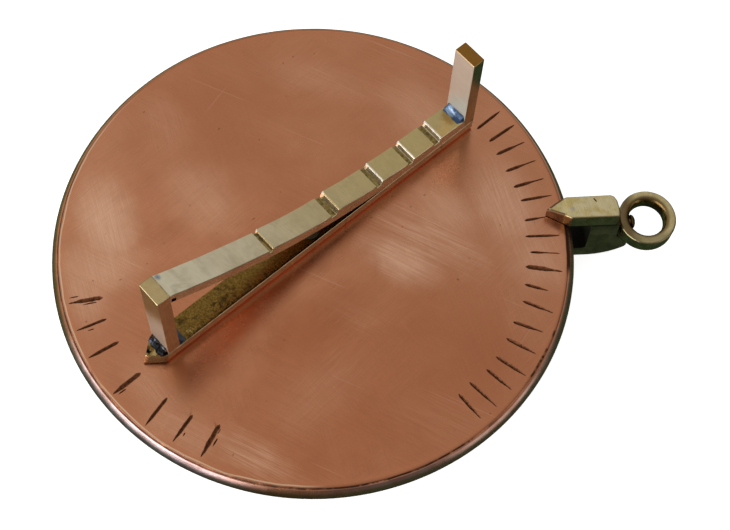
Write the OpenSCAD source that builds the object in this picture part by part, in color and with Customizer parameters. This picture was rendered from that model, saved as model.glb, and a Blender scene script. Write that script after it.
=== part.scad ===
// Portable universal altitude dial: a flat copper disc with cut scale marks, a
// soldered brass gnomon that turns on the middle of the face, and a suspension
// arm behind the disc whose shackle hooks over the rim, carries the latitude
// pointer and ends in a swivelling ring.
// Modules are drawn about the pivot axis, with z = 0 under the shackle. The
// last lines move everything so that the origin is the centre of the ring.

/* [Disc] */
// diameter of the copper disc, mm
disc_d = 120; // [100:1:140]
// thickness of the disc, mm
disc_t = 3; // [2:0.1:5]
// run of the filed shoulder at the rim, mm
shoulder_run = 2.4; // [1:0.1:4]
// drop of the filed shoulder at the rim, mm
shoulder_drop = 2.2; // [1:0.1:2.6]
// radius where the scale marks begin, mm
mark_in = 49.2; // [40:0.1:55]
// radius where the scale marks end, mm
mark_out = 56.8; // [50:0.1:58]
// widest part of a scale mark, mm
mark_w = 0.65; // [0.3:0.05:2]
// depth of a scale mark, mm
mark_depth = 0.35; // [0.1:0.05:1]

/* [Gnomon] */
// width of the brass bar stock, mm
bar_w = 6.2; // [4:0.1:10]
// thickness of the base bar, mm
bar_t = 3.15; // [2:0.05:5]
// angle of the gnomon on the face at rest, degrees
gnomon_angle = 36; // [0:1:360]
// distance from the pivot to the date point, mm
point_reach = 47.1; // [30:0.1:50]
// how much further the date point reaches at its foot, mm
point_lean = 1.0; // [0:0.1:1.5]
// distance from the pivot to the far end of the base bar, mm
tail_reach = 48.4; // [30:0.1:50]
// thickness of the post and of the shadow upright, mm
post_t = 3.2; // [2:0.1:5]
// height of the post above the base bar, mm
post_h = 26; // [15:0.5:35]
// height of the shadow upright above the base bar, mm
upright_h = 25.9; // [15:0.1:35]

/* [Suspension] */
// gap between the back of the disc and the arm, mm
arm_gap = 5.75; // [2:0.05:8]
// thickness of the arm, mm
arm_t = 2; // [1:0.1:4]
// thickness of the shackle's lower jaw, mm
jaw_t = 3.5; // [2:0.1:5]
// width of the shackle, mm
shackle_w = 5.7; // [4:0.1:10]
// angle the shackle sits askew on the arm, degrees
shackle_skew = -1.9; // [-5:0.1:5]
// thickness of the pointer plate, mm
pointer_t = 4.2; // [2:0.1:6]
// distance from the pivot to the pointer's tip, mm
tip_reach = 54.8; // [52:0.1:58]
// outer diameter of the ring, mm
ring_d = 13.7; // [8:0.1:20]
// inner diameter of the ring, mm
ring_bore = 8.4; // [5:0.1:16]
// height of the ring, mm
ring_h = 4.4; // [2:0.1:6]
// turn of the ring on its swivel at rest, degrees
ring_roll = 4.7; // [-180:0.1:180]

/* [Pivot] */
// diameter of the pivot arbor, mm
arbor_d = 3.2; // [2:0.1:5]
// radial clearance of what turns on the arbor, mm
run_gap = 0.05; // [0.02:0.01:0.1]
// diameter of the swivel pin's shank, mm
pin_d = 2; // [1:0.1:3]

/* [Hidden] */
$fn = 96;
eps = 0.01;
// the disc's own centre, seen from the pivot
disc_cx = 1.0;
disc_cy = -1.4;
jaw_top = jaw_t;
arm_z0 = jaw_top;
arm_z1 = arm_z0 + arm_t;
disc_z0 = arm_z1 + arm_gap;
disc_z1 = disc_z0 + disc_t;
washer_t = 0.5;
axial = 0.1;
// the gnomon turns on a thin shim, so close to the face that no gap shows
shim_t = 0.2;
face_gap = 0.05;
base_z0 = disc_z1 + face_gap + shim_t;
base_z1 = base_z0 + bar_t;
pointer_z0 = disc_z1 + 0.25;
block_top = pointer_z0 - 0.25;
tail_z = arm_z0 - axial - washer_t;
block_x0 = 65.5;
block_x1 = 72.1;
ring_x = 79.45;
ring_z = 10.0;
disc_r = disc_d / 2;
// the marks are cut by hand, so their angles are not quite even: latitude
// marks five degrees of latitude apart, the tenth for 45 degrees
lat_marks = [33.4, 28.3, 23.4, 17.8, 12.5, 7.8, 2.0, -3.0, -7.6,
             -12.1, -17.5, -22.6, -28.6, -34.1, -39.9, -44.4, -49.9, -54.4];
// date marks, for the sun's declination from one solstice to the other
date_marks = [-168.5, -162, -155, -144.5, -134.5, -127, -119.5];
// the hour bar's worked top, along the bar and above the base bar
hour_top = [
  [-39.8, 26.0], [-36, 23.6], [-32.3, 21.6], [-27.5, 18.8], [-21.9, 16.1], [-16.8, 13.6], [-14.0, 12.3],
  [-14.0, 11.4], [-13.2, 11.3], [-12.9, 12.4],
  [-5.2, 9.0], [0.6, 7.1], [3.9, 6.4],
  [3.9, 5.5], [5.5, 5.4], [6.2, 6.9],
  [12.3, 5.0], [17.5, 4.0],
  [17.5, 3.2], [18.9, 3.1], [19.5, 4.4],
  [24.7, 3.35], [27.5, 3.05],
  [27.5, 2.3], [28.8, 2.3], [29.3, 3.5],
  [35.5, 3.05],
  [35.5, 2.3], [37.2, 2.3], [37.7, 3.45],
  [45.2, 3.0]
];
bend_at = 24;
function under(s) = 0.0168 * pow(max(0, bend_at - s), 1.736);

module gnomon_place() {
  rotate([0, 0, gnomon_angle]) translate([0, 0, base_z1]) children();
}

// A plate in the gnomon's own plane, w wide, from an outline of [along, up].
module side_plate(w) {
  translate([0, w / 2, 0]) rotate([90, 0, 0]) linear_extrude(height = w) children();
}

module mark(a, l0, l1, w) {
  rotate([0, 0, a]) translate([0, 0, disc_t - mark_depth]) linear_extrude(height = 1)
    polygon([[l0, 0], [l0 + 1.4, -w * 0.45], [l0 + 3.6, -w / 2], [l1 - 2.2, -w * 0.32], [l1, 0],
             [l1 - 2.2, w * 0.3], [l0 + 3.6, w / 2], [l0 + 1.4, w * 0.45]]);
}

module dial_disc() {
  color([0.72, 0.43, 0.31]) difference() {
    translate([disc_cx, disc_cy, disc_z0]) difference() {
      rotate_extrude($fn = 180) polygon(concat(
        [[0, 0], [disc_r - 0.7, 0], [disc_r - 0.15, 0.3]],
        [for (q = [[0, 1], [0.08, 0.73], [0.29, 0.39], [0.62, 0.1], [1, 0]])
          [disc_r - shoulder_run * q[0], disc_t - shoulder_drop * q[1]]],
        [[0, disc_t]]));
      for (i = [0 : 17]) mark(lat_marks[i], mark_in, i == 6 || i == 10 ? mark_out - 2.6 : mark_out,
                              i == 9 ? mark_w * 1.5 : mark_w);
      for (i = [0 : 6]) mark(date_marks[i], mark_in + 0.3, mark_out + 0.3,
                             i == 0 || i == 6 ? mark_w * 1.6 : (i == 3 ? mark_w * 1.3 : mark_w));
    }
    translate([0, 0, disc_z0 - 1]) cylinder(d = arbor_d, h = disc_t + 2);
  }
}

// The point's two facets are filed leaning, so that the foot reaches further.
module gnomon_base_bar() {
  facet = atan2(bar_w / 2, 3.7);
  color([0.68, 0.58, 0.36]) rotate([0, 0, gnomon_angle]) translate([0, 0, base_z0]) difference() {
    translate([-point_reach - 2, -bar_w / 2, 0]) cube([point_reach + 2 + tail_reach, bar_w, bar_t]);
    for (m = [0, 1]) mirror([0, m, 0]) translate([-point_reach, 0, bar_t]) rotate([0, 0, -facet])
      rotate([-atan(point_lean * sin(facet) / bar_t), 0, 0]) translate([-7, -7, -7]) cube([21, 7, 14]);
    translate([0, 0, -1]) cylinder(r = arbor_d / 2 + run_gap, h = bar_t + 2);
  }
}

module gnomon_post() {
  color([0.68, 0.58, 0.4]) gnomon_place()
    translate([-39.8 - post_t, -bar_w / 2, 0]) cube([post_t, bar_w, post_h]);
}

module hour_scale_bar() {
  color([0.72, 0.66, 0.47]) gnomon_place() side_plate(bar_w - 0.1) polygon(concat(
    hour_top,
    [for (s = [45.2, 34, bend_at]) [s, 0]],
    [for (s = [21 : -3 : -36]) [s, under(s)]],
    [[-39.8, under(-39.8)]]));
}

module shadow_upright() {
  color([0.72, 0.66, 0.52]) gnomon_place()
    translate([45.2, -bar_w / 2, 0]) cube([post_t, bar_w, upright_h]);
}

// A hollow fillet in a corner: run along, rise up, both from the corner.
module fillet(run, rise) {
  polygon(concat([[0, 0], [run, 0]],
    [for (t = [15 : 15 : 75]) [run * (1 - sin(t)), rise * (1 - cos(t))]],
    [[0, rise]]));
}

module post_outer_solder() {
  color([0.27, 0.32, 0.42]) gnomon_place() translate([-39.8 - post_t, 0, 0]) mirror([1, 0, 0])
    side_plate(bar_w - 0.5) fillet(1.7, 1.9);
}

module post_inner_solder() {
  color([0.3, 0.33, 0.38]) gnomon_place() translate([-39.8, 0, 0])
    side_plate(bar_w - 0.5) fillet(1.4, 2.2);
}

module post_head_solder() {
  color([0.35, 0.37, 0.42]) gnomon_place() side_plate(bar_w - 0.7) polygon([
    [-39.8, under(-39.8)], [-39.8, under(-39.8) - 1.3], [-39.3, under(-39.8) - 1.1],
    [-38.6, under(-39.8) - 0.95], [-38.2, under(-38.2) - 0.0]]);
}

module upright_solder() {
  color([0.38, 0.5, 0.66]) gnomon_place() translate([45.2, 0, 3.0]) mirror([1, 0, 0])
    side_plate(bar_w - 0.4) polygon(concat([[0, 0], [2.0, 0.13]],
      [for (t = [15 : 15 : 75]) [2.0 * (1 - sin(t)), 0.13 * (1 - sin(t)) + 1.8 * (1 - cos(t))]],
      [[0, 1.8]]));
}

// One arbor is fast in the disc; the gnomon turns on it in front, the arm behind.
module pivot_arbor() {
  color([0.66, 0.56, 0.34]) rotate_extrude() polygon(concat(
    [[0, tail_z - 1.2], [1.5, tail_z - 1.15], [2.3, tail_z - 0.8], [2.7, tail_z], [arbor_d / 2, tail_z],
     [arbor_d / 2, base_z1 + face_gap], [2.3, base_z1 + face_gap]],
    [for (t = [0 : 15 : 75]) [1.4 + 0.9 * cos(t), base_z1 + face_gap + 0.12 + 0.28 * sin(t)]],
    [[0, base_z1 + face_gap + 0.4]]));
}

module turned_ring(ro, ri, z0, z1) {
  translate([0, 0, z0]) difference() {
    cylinder(r = ro, h = z1 - z0);
    translate([0, 0, -1]) cylinder(r = ri, h = z1 - z0 + 2);
  }
}

module gnomon_washer() {
  color([0.66, 0.6, 0.4]) turned_ring(2.9, arbor_d / 2 + run_gap, disc_z1 + face_gap, base_z0);
}

module hub_spacer() {
  color([0.66, 0.57, 0.36]) difference() {
    rotate_extrude() polygon([[0, arm_z1 + washer_t + axial], [4.2, arm_z1 + washer_t + axial],
      [4.5, arm_z1 + washer_t + axial + 0.3], [4.5, disc_z0 - 0.3], [4.8, disc_z0], [0, disc_z0]]);
    cylinder(d = arbor_d, h = disc_z0 + 1);
  }
}

module arm_washer() {
  color([0.62, 0.62, 0.6]) turned_ring(4.0, arbor_d / 2 + run_gap, arm_z1, arm_z1 + washer_t);
}

module tail_washer() {
  color([0.66, 0.6, 0.4]) turned_ring(3.6, arbor_d / 2, tail_z, arm_z0 - axial);
}

module suspension_arm() {
  color([0.68, 0.6, 0.4]) translate([0, 0, arm_z0]) difference() {
    union() {
      cylinder(r = 5, h = arm_t);
      translate([0, -3, 0]) cube([58.4, 6, arm_t]);
    }
    translate([0, 0, -1]) cylinder(r = arbor_d / 2 + run_gap, h = arm_t + 2);
    for (x = [50.5, 55.5]) translate([x, 0, -1]) cylinder(r = 0.8, h = arm_t + 2);
  }
}

module arm_rivets() {
  color([0.7, 0.6, 0.36]) for (x = [50.5, 55.5]) translate([x, 0, 0]) rotate_extrude($fn = 48)
    polygon(concat([[0, 0], [1.3, 0], [0.8, 0.5], [0.8, arm_z1], [1.4, arm_z1]],
      [for (t = [0 : 18 : 72]) [1.4 * cos(t), arm_z1 + 0.1 + 0.6 * sin(t)]], [[0, arm_z1 + 0.7]]));
}

// The shackle is soldered on slightly askew; it turns about its outer end.
module askew() {
  translate([71.2, 0.2, 0]) rotate([0, 0, shackle_skew]) translate([-71.2, 0, 0]) children();
}

module shackle_body() {
  color([0.55, 0.5, 0.32]) difference() {
    askew() intersection() {
      side_plate(8) polygon([
        [47.4, 0.5], [47.9, 0], [66.8, 0], [68.5, 0.2], [69.9, 0.55], [71.0, 0.95], [71.9, 1.35], [73.3, 2.15],
        [74.3, 2.9], [75.0, 3.5], [75.3, 4.2], [75.3, 6], [block_x1, 9], [block_x1, block_top],
        [block_x0, block_top], [block_x0 + 0.1, jaw_top + 0.8], [block_x0 - 0.2, jaw_top + 0.2],
        [block_x0 - 0.9, jaw_top], [47.4, jaw_top]]);
      // the near flank is filed a little wider towards the foot
      translate([40, 0, 0]) rotate([90, 0, 90]) linear_extrude(height = 40) polygon([
        [-shackle_w / 2 - 0.43, -1], [shackle_w / 2 + 0.3, -1],
        [shackle_w / 2 + 0.1, block_top + 1], [-shackle_w / 2, block_top + 1]]);
    }
    // hollow that lets the ring swing past the foot
    translate([ring_x, 0, ring_z]) sphere(r = 7.3);
    translate([block_x1 - 5, 0, ring_z]) rotate([0, 90, 0]) cylinder(d = pin_d, h = 8);
    for (x = [50.5, 55.5]) translate([x, 0, -1]) {
      cylinder(r = 0.8, h = jaw_top + 2);
      translate([0, 0, 1]) cylinder(r1 = 1.3, r2 = 0.8, h = 0.5);
      translate([0, 0, -0.5]) cylinder(r = 1.3, h = 1.5);
    }
  }
}

module pointer_plate() {
  color([0.7, 0.66, 0.44]) askew() intersection() {
    translate([0, 0, pointer_z0]) linear_extrude(height = pointer_t + 1) polygon([
      [tip_reach, 0.3], [tip_reach + 5.4, -shackle_w / 2], [block_x1 - 1.0, -shackle_w / 2 - 0.05],
      [block_x1 - 0.6, -shackle_w / 2 + 0.4], [block_x1 - 0.5, -0.8], [block_x1 - 0.8, 1.4],
      [block_x1 - 1.4, 2.5], [block_x1 - 2.2, shackle_w / 2 + 0.05],
      [tip_reach + 4.7, shackle_w / 2 - 0.05], [tip_reach + 3.7, shackle_w / 2 - 0.4],
      [tip_reach + 2.2, shackle_w / 2 - 1.15], [tip_reach + 1.0, 0.95], [tip_reach + 0.05, 0.5]]);
    side_plate(20) polygon([
      [tip_reach - 1, pointer_z0], [80, pointer_z0], [80, pointer_z0 + pointer_t],
      [tip_reach + 4.6, pointer_z0 + pointer_t], [tip_reach - 1, pointer_z0 + pointer_t - 1.6]]);
  }
}

module pointer_solder() {
  color([0.4, 0.38, 0.3]) askew() translate([block_x0 + 0.08, -shackle_w / 2 + 0.08, block_top])
    cube([block_x1 - block_x0 - 1.2, shackle_w - 0.4, pointer_z0 - block_top]);
}

module swivel_pin() {
  color([0.5, 0.4, 0.24]) translate([block_x1 - 5, 0, ring_z]) rotate([0, 90, 0]) rotate_extrude($fn = 64)
    polygon(concat([[0, 0], [pin_d / 2, 0], [pin_d / 2, 8.6], [1.75, 8.6], [1.75, 8.8]],
      [for (t = [15 : 15 : 75]) [1.75 * cos(t), 8.8 + 0.95 * sin(t)]], [[0, 9.75]]));
}

// The ring is a turned slice with its edges rubbed round, the inner ones most.
module ring_section() {
  ro = ring_d / 2; ri = ring_bore / 2; hh = ring_h / 2;
  polygon(concat(
    [for (t = [0 : 15 : 90]) [ro - 0.6 + 0.6 * cos(t), hh - 0.6 + 0.6 * sin(t)]],
    [for (t = [90 : 15 : 180]) [ri + 1.0 + 1.0 * cos(t), hh - 1.0 + 1.0 * sin(t)]],
    [for (t = [180 : 15 : 270]) [ri + 1.0 + 1.0 * cos(t), -hh + 1.0 + 1.0 * sin(t)]],
    [for (t = [270 : 15 : 360]) [ro - 0.6 + 0.6 * cos(t), -hh + 0.6 + 0.6 * sin(t)]]));
}

module suspension_ring() {
  color([0.7, 0.62, 0.36]) translate([ring_x, 0, ring_z]) rotate([ring_roll, 0, 0]) difference() {
    rotate_extrude() ring_section();
    translate([-ring_d / 2 - 1, 0, 0]) rotate([0, 90, 0]) cylinder(r = pin_d / 2 + 0.08, h = 5);
  }
}

module placed() {
  translate([-ring_x, 0, -ring_z]) children();
}

placed() dial_disc();
placed() gnomon_base_bar();
placed() gnomon_post();
placed() hour_scale_bar();
placed() shadow_upright();
placed() post_outer_solder();
placed() post_inner_solder();
placed() post_head_solder();
placed() upright_solder();
placed() pivot_arbor();
placed() gnomon_washer();
placed() hub_spacer();
placed() arm_washer();
placed() tail_washer();
placed() suspension_arm();
placed() arm_rivets();
placed() shackle_body();
placed() pointer_plate();
placed() pointer_solder();
placed() swivel_pin();
placed() suspension_ring();
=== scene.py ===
import math
import random

import bpy
import bmesh
import numpy as np
from mathutils import Matrix, Vector
from mathutils import noise as mnoise
from mathutils.geometry import delaunay_2d_cdt

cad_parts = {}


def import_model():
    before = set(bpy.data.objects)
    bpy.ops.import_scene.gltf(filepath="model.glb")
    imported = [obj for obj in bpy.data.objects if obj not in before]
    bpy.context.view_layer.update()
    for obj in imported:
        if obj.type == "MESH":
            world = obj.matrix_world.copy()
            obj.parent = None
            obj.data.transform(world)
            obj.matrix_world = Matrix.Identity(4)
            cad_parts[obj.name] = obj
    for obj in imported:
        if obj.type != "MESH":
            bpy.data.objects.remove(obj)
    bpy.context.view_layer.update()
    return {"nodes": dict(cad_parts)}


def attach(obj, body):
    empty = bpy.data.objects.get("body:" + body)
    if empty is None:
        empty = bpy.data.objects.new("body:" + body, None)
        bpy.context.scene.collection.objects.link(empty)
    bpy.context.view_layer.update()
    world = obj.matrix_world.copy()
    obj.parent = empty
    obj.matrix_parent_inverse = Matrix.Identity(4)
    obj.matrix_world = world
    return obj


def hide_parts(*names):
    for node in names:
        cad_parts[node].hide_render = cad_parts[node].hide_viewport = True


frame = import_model()
random.seed(7)
rng = np.random.default_rng(7)

MM = 0.001
# places in the part frame, in millimetres
PIVOT = (-79.45, 0.0)
DISC_C = (-78.45, -1.40)
TOP = 4.25
BOTTOM = 1.25
BASE_Z0 = 4.50
BASE_Z1 = 7.65
GN = math.radians(36.0)


# ---------------------------------------------------------------- meshes

def nz(x, y, z, scale, seed=0.0):
    """Smooth noise from -1 to 1 at a point in millimetres."""
    return mnoise.noise(Vector((x / scale + seed * 7.31, y / scale - seed * 3.7, z / scale + seed)))


def to_object(name, verts, faces, mats, index=None, angle=32.0, smooth=True):
    me = bpy.data.meshes.new(name)
    me.from_pydata([tuple(c * MM for c in v) for v in verts], [], faces)
    me.validate()
    for m in mats:
        me.materials.append(m)
    if index is not None and len(index) == len(me.polygons):
        me.polygons.foreach_set("material_index", index)
    bm = bmesh.new()
    bm.from_mesh(me)
    bmesh.ops.recalc_face_normals(bm, faces=bm.faces)
    bm.to_mesh(me)
    bm.free()
    if smooth:
        me.shade_smooth()
        me.set_sharp_from_angle(angle=math.radians(angle))
    me.update()
    o = bpy.data.objects.new(name, me)
    bpy.context.scene.collection.objects.link(o)
    if smooth:
        flat_stays_flat(o)
    return o


def flat_stays_flat(o):
    """Normals weighted by face area, so that a large flat face isn't shaded by the small rounded edges round it."""
    mod = o.modifiers.new("normals", "WEIGHTED_NORMAL")
    mod.mode = "FACE_AREA"
    mod.weight = 50
    mod.keep_sharp = True
    dg = bpy.context.evaluated_depsgraph_get()
    me = bpy.data.meshes.new_from_object(o.evaluated_get(dg))
    o.modifiers.clear()
    old = o.data
    o.data = me
    bpy.data.meshes.remove(old)
    me.name = o.name


def place(o, body, nodes, slot):
    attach(o, body)
    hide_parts(*([nodes] if isinstance(nodes, str) else nodes))
    return o


def area2(poly):
    return sum(a[0] * b[1] - b[0] * a[1] for a, b in zip(poly, poly[1:] + poly[:1])) / 2


def inset(poly, d):
    """A counter-clockwise outline moved inwards by d, corner by corner."""
    n = len(poly)
    out = []
    for i in range(n):
        p0, p1, p2 = poly[i - 1], poly[i], poly[(i + 1) % n]
        a = np.array([p1[0] - p0[0], p1[1] - p0[1]], float)
        b = np.array([p2[0] - p1[0], p2[1] - p1[1]], float)
        a /= np.linalg.norm(a) + 1e-12
        b /= np.linalg.norm(b) + 1e-12
        na, nb = np.array([-a[1], a[0]]), np.array([-b[1], b[0]])
        m = na + nb
        k = d / max(0.35, (m @ m) / 2)
        out.append((p1[0] + m[0] * k, p1[1] + m[1] * k))
    return out


def round_corners(poly, r, seg=3, sharp=18.0):
    """Rounds the corners of an outline; r is one radius or one per corner."""
    n = len(poly)
    rr = r if hasattr(r, "__len__") else [r] * n
    out = []
    for i in range(n):
        p0, p1, p2 = (np.array(poly[j % n], float) for j in (i - 1, i, i + 1))
        a, b = p0 - p1, p2 - p1
        la, lb = np.linalg.norm(a), np.linalg.norm(b)
        a, b = a / la, b / lb
        turn = math.degrees(math.acos(max(-1, min(1, -float(a @ b)))))
        if turn < sharp or rr[i] <= 0:
            out.append(tuple(p1))
            continue
        cut = min(rr[i] * math.tan(math.radians(turn) / 2), la * 0.42, lb * 0.42)
        s, e = p1 + a * cut, p1 + b * cut
        for k in range(seg + 1):
            t = k / seg
            q = (1 - t) ** 2 * s + 2 * t * (1 - t) * (p1 * 0.8 + (s + e) * 0.1) + t * t * e
            out.append((float(q[0]), float(q[1])))
    return out


def densify(poly, step):
    out = []
    for p, q in zip(poly, poly[1:] + poly[:1]):
        d = math.hypot(q[0] - p[0], q[1] - p[1])
        k = max(1, int(round(d / step)))
        for i in range(k):
            out.append((p[0] + (q[0] - p[0]) * i / k, p[1] + (q[1] - p[1]) * i / k))
    return out


def inside(pt, poly):
    x, y = pt
    hit = False
    for (x0, y0), (x1, y1) in zip(poly, poly[1:] + poly[:1]):
        if (y0 > y) != (y1 > y) and x < (x1 - x0) * (y - y0) / (y1 - y0) + x0:
            hit = not hit
    return hit


def fill(outer, holes=(), extra=()):
    """Triangles of a flat area with holes. Returns (points, triangles, rows of outline indices)."""
    pts, loops = [], []
    for loop in [outer, *holes]:
        loops.append(list(range(len(pts), len(pts) + len(loop))))
        pts += [tuple(p) for p in loop]
    rim = len(pts)
    pts += [tuple(p) for p in extra]
    edges = [(a, b) for lp in loops for a, b in zip(lp, lp[1:] + lp[:1])]
    v, _, f, ov, _, _ = delaunay_2d_cdt([Vector(p) for p in pts], edges, [], 0, 1e-7)
    back = {}
    for i, orig in enumerate(ov):
        for o in orig:
            back[o] = i
    boxes = [(min(p[0] for p in h), max(p[0] for p in h), min(p[1] for p in h), max(p[1] for p in h)) for h in holes]
    tris = []
    for t in f:
        c = (sum(v[i].x for i in t) / 3, sum(v[i].y for i in t) / 3)
        if not inside(c, outer):
            continue
        if any(b[0] <= c[0] <= b[1] and b[2] <= c[1] <= b[3] and inside(c, h) for h, b in zip(holes, boxes)):
            continue
        tris.append(tuple(t))
    return [(p.x, p.y) for p in v], tris, [[back[i] for i in lp] for lp in loops]


def slab(outline, t0, t1, r, seg=3, mid=1, grid=0.0):
    """A plate between t0 and t1 from an outline, its edges rounded by r: (verts as (u, v, w), faces)."""
    if area2(outline) < 0:
        outline = outline[::-1]
    n = len(outline)
    angles = [math.pi / 2 * k / seg for k in range(seg + 1)]
    rings = [(r * (1 - math.sin(a)), t0 + r * (1 - math.cos(a))) for a in angles]
    rings += [(0.0, t0 + r + (t1 - t0 - 2 * r) * k / mid) for k in range(1, mid)]
    rings += [(r * (1 - math.sin(a)), t1 - r * (1 - math.cos(a))) for a in reversed(angles)]
    verts, faces = [], []
    for d, w in rings:
        verts += [(p[0], p[1], w) for p in (inset(outline, d) if d > 1e-9 else outline)]
    for k in range(len(rings) - 1):
        for i in range(n):
            j = (i + 1) % n
            faces.append((k * n + i, k * n + j, (k + 1) * n + j, (k + 1) * n + i))
    for base, w, flip in ((0, rings[0][1], True), ((len(rings) - 1) * n, rings[-1][1], False)):
        loop = [(verts[base + i][0], verts[base + i][1]) for i in range(n)]
        extra = []
        if grid:
            xs = [p[0] for p in loop]
            ys = [p[1] for p in loop]
            inner = inset(loop, grid * 0.5)
            gx = np.arange(min(xs) + grid / 2, max(xs), grid)
            gy = np.linspace(min(ys), max(ys), max(3, int((max(ys) - min(ys)) / grid)) + 2)[1:-1]
            extra = [(x, y) for x in gx for y in gy if inside((x, y), inner)]
        pts, tris, loops = fill(loop, (), extra)
        where = {idx: base + k for k, idx in enumerate(loops[0])}
        for i, p in enumerate(pts):
            if i not in where:
                where[i] = len(verts)
                verts.append((p[0], p[1], w))
        for t in tris:
            f = tuple(where[i] for i in t)
            faces.append(f[::-1] if flip else f)
    return verts, faces


def gnomon_frame(s, y, z):
    c, sn = math.cos(GN), math.sin(GN)
    return (PIVOT[0] + c * s - sn * y, PIVOT[1] + sn * s + c * y, z)


def lathe(profile, n, closed=False):
    """Turned surface about z from (radius, height) pairs: (verts, faces)."""
    verts, faces, rows = [], [], []
    for r, z in profile:
        if r < 1e-6:
            rows.append([len(verts)] * n)
            verts.append((0.0, 0.0, z))
        else:
            rows.append(list(range(len(verts), len(verts) + n)))
            verts += [(r * math.cos(2 * math.pi * k / n), r * math.sin(2 * math.pi * k / n), z) for k in range(n)]
    pairs = list(zip(rows, rows[1:])) + ([(rows[-1], rows[0])] if closed else [])
    for a, b in pairs:
        for i in range(n):
            j = (i + 1) % n
            f = [a[i], a[j], b[j], b[i]]
            f = [x for k, x in enumerate(f) if x not in f[:k]]
            if len(f) > 2:
                faces.append(tuple(f))
    return verts, faces


def node_piece(name, node, mats, bevel=0.15, segments=2, angle=30.0, wobble=0.0, subdiv=0.0):
    """A finer copy of a CAD node: its edges are rounded as a file and emery leave them."""
    src = frame["nodes"][node]
    bm = bmesh.new()
    bm.from_mesh(src.data)
    bmesh.ops.remove_doubles(bm, verts=bm.verts, dist=2e-6)
    bmesh.ops.dissolve_limit(bm, angle_limit=math.radians(0.6), verts=bm.verts, edges=bm.edges)
    sharp = [e for e in bm.edges if len(e.link_faces) == 2 and e.calc_face_angle(0) > math.radians(angle)]
    if bevel > 0:
        bmesh.ops.bevel(bm, geom=sharp, offset=bevel * MM, offset_type="OFFSET", segments=segments,
                        profile=0.5, affect="EDGES", clamp_overlap=True, miter_outer="ARC")
    bmesh.ops.remove_doubles(bm, verts=bm.verts, dist=1e-6)
    me = bpy.data.meshes.new(name)
    bm.to_mesh(me)
    bm.free()
    me.materials.clear()
    for m in mats:
        me.materials.append(m)
    me.polygons.foreach_set("material_index", [0] * len(me.polygons))
    if wobble:
        for v in me.vertices:
            p = v.co * 1000
            k = nz(p.x, p.y, p.z, 3.0, 2.0) * wobble * MM
            v.co.x += k
            v.co.y += nz(p.x, p.y, p.z, 2.4, 5.0) * wobble * MM
    me.shade_smooth()
    me.set_sharp_from_angle(angle=math.radians(40))
    o = bpy.data.objects.new(name, me)
    bpy.context.scene.collection.objects.link(o)
    flat_stays_flat(o)
    return o


# ---------------------------------------------------------------- materials

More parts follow.
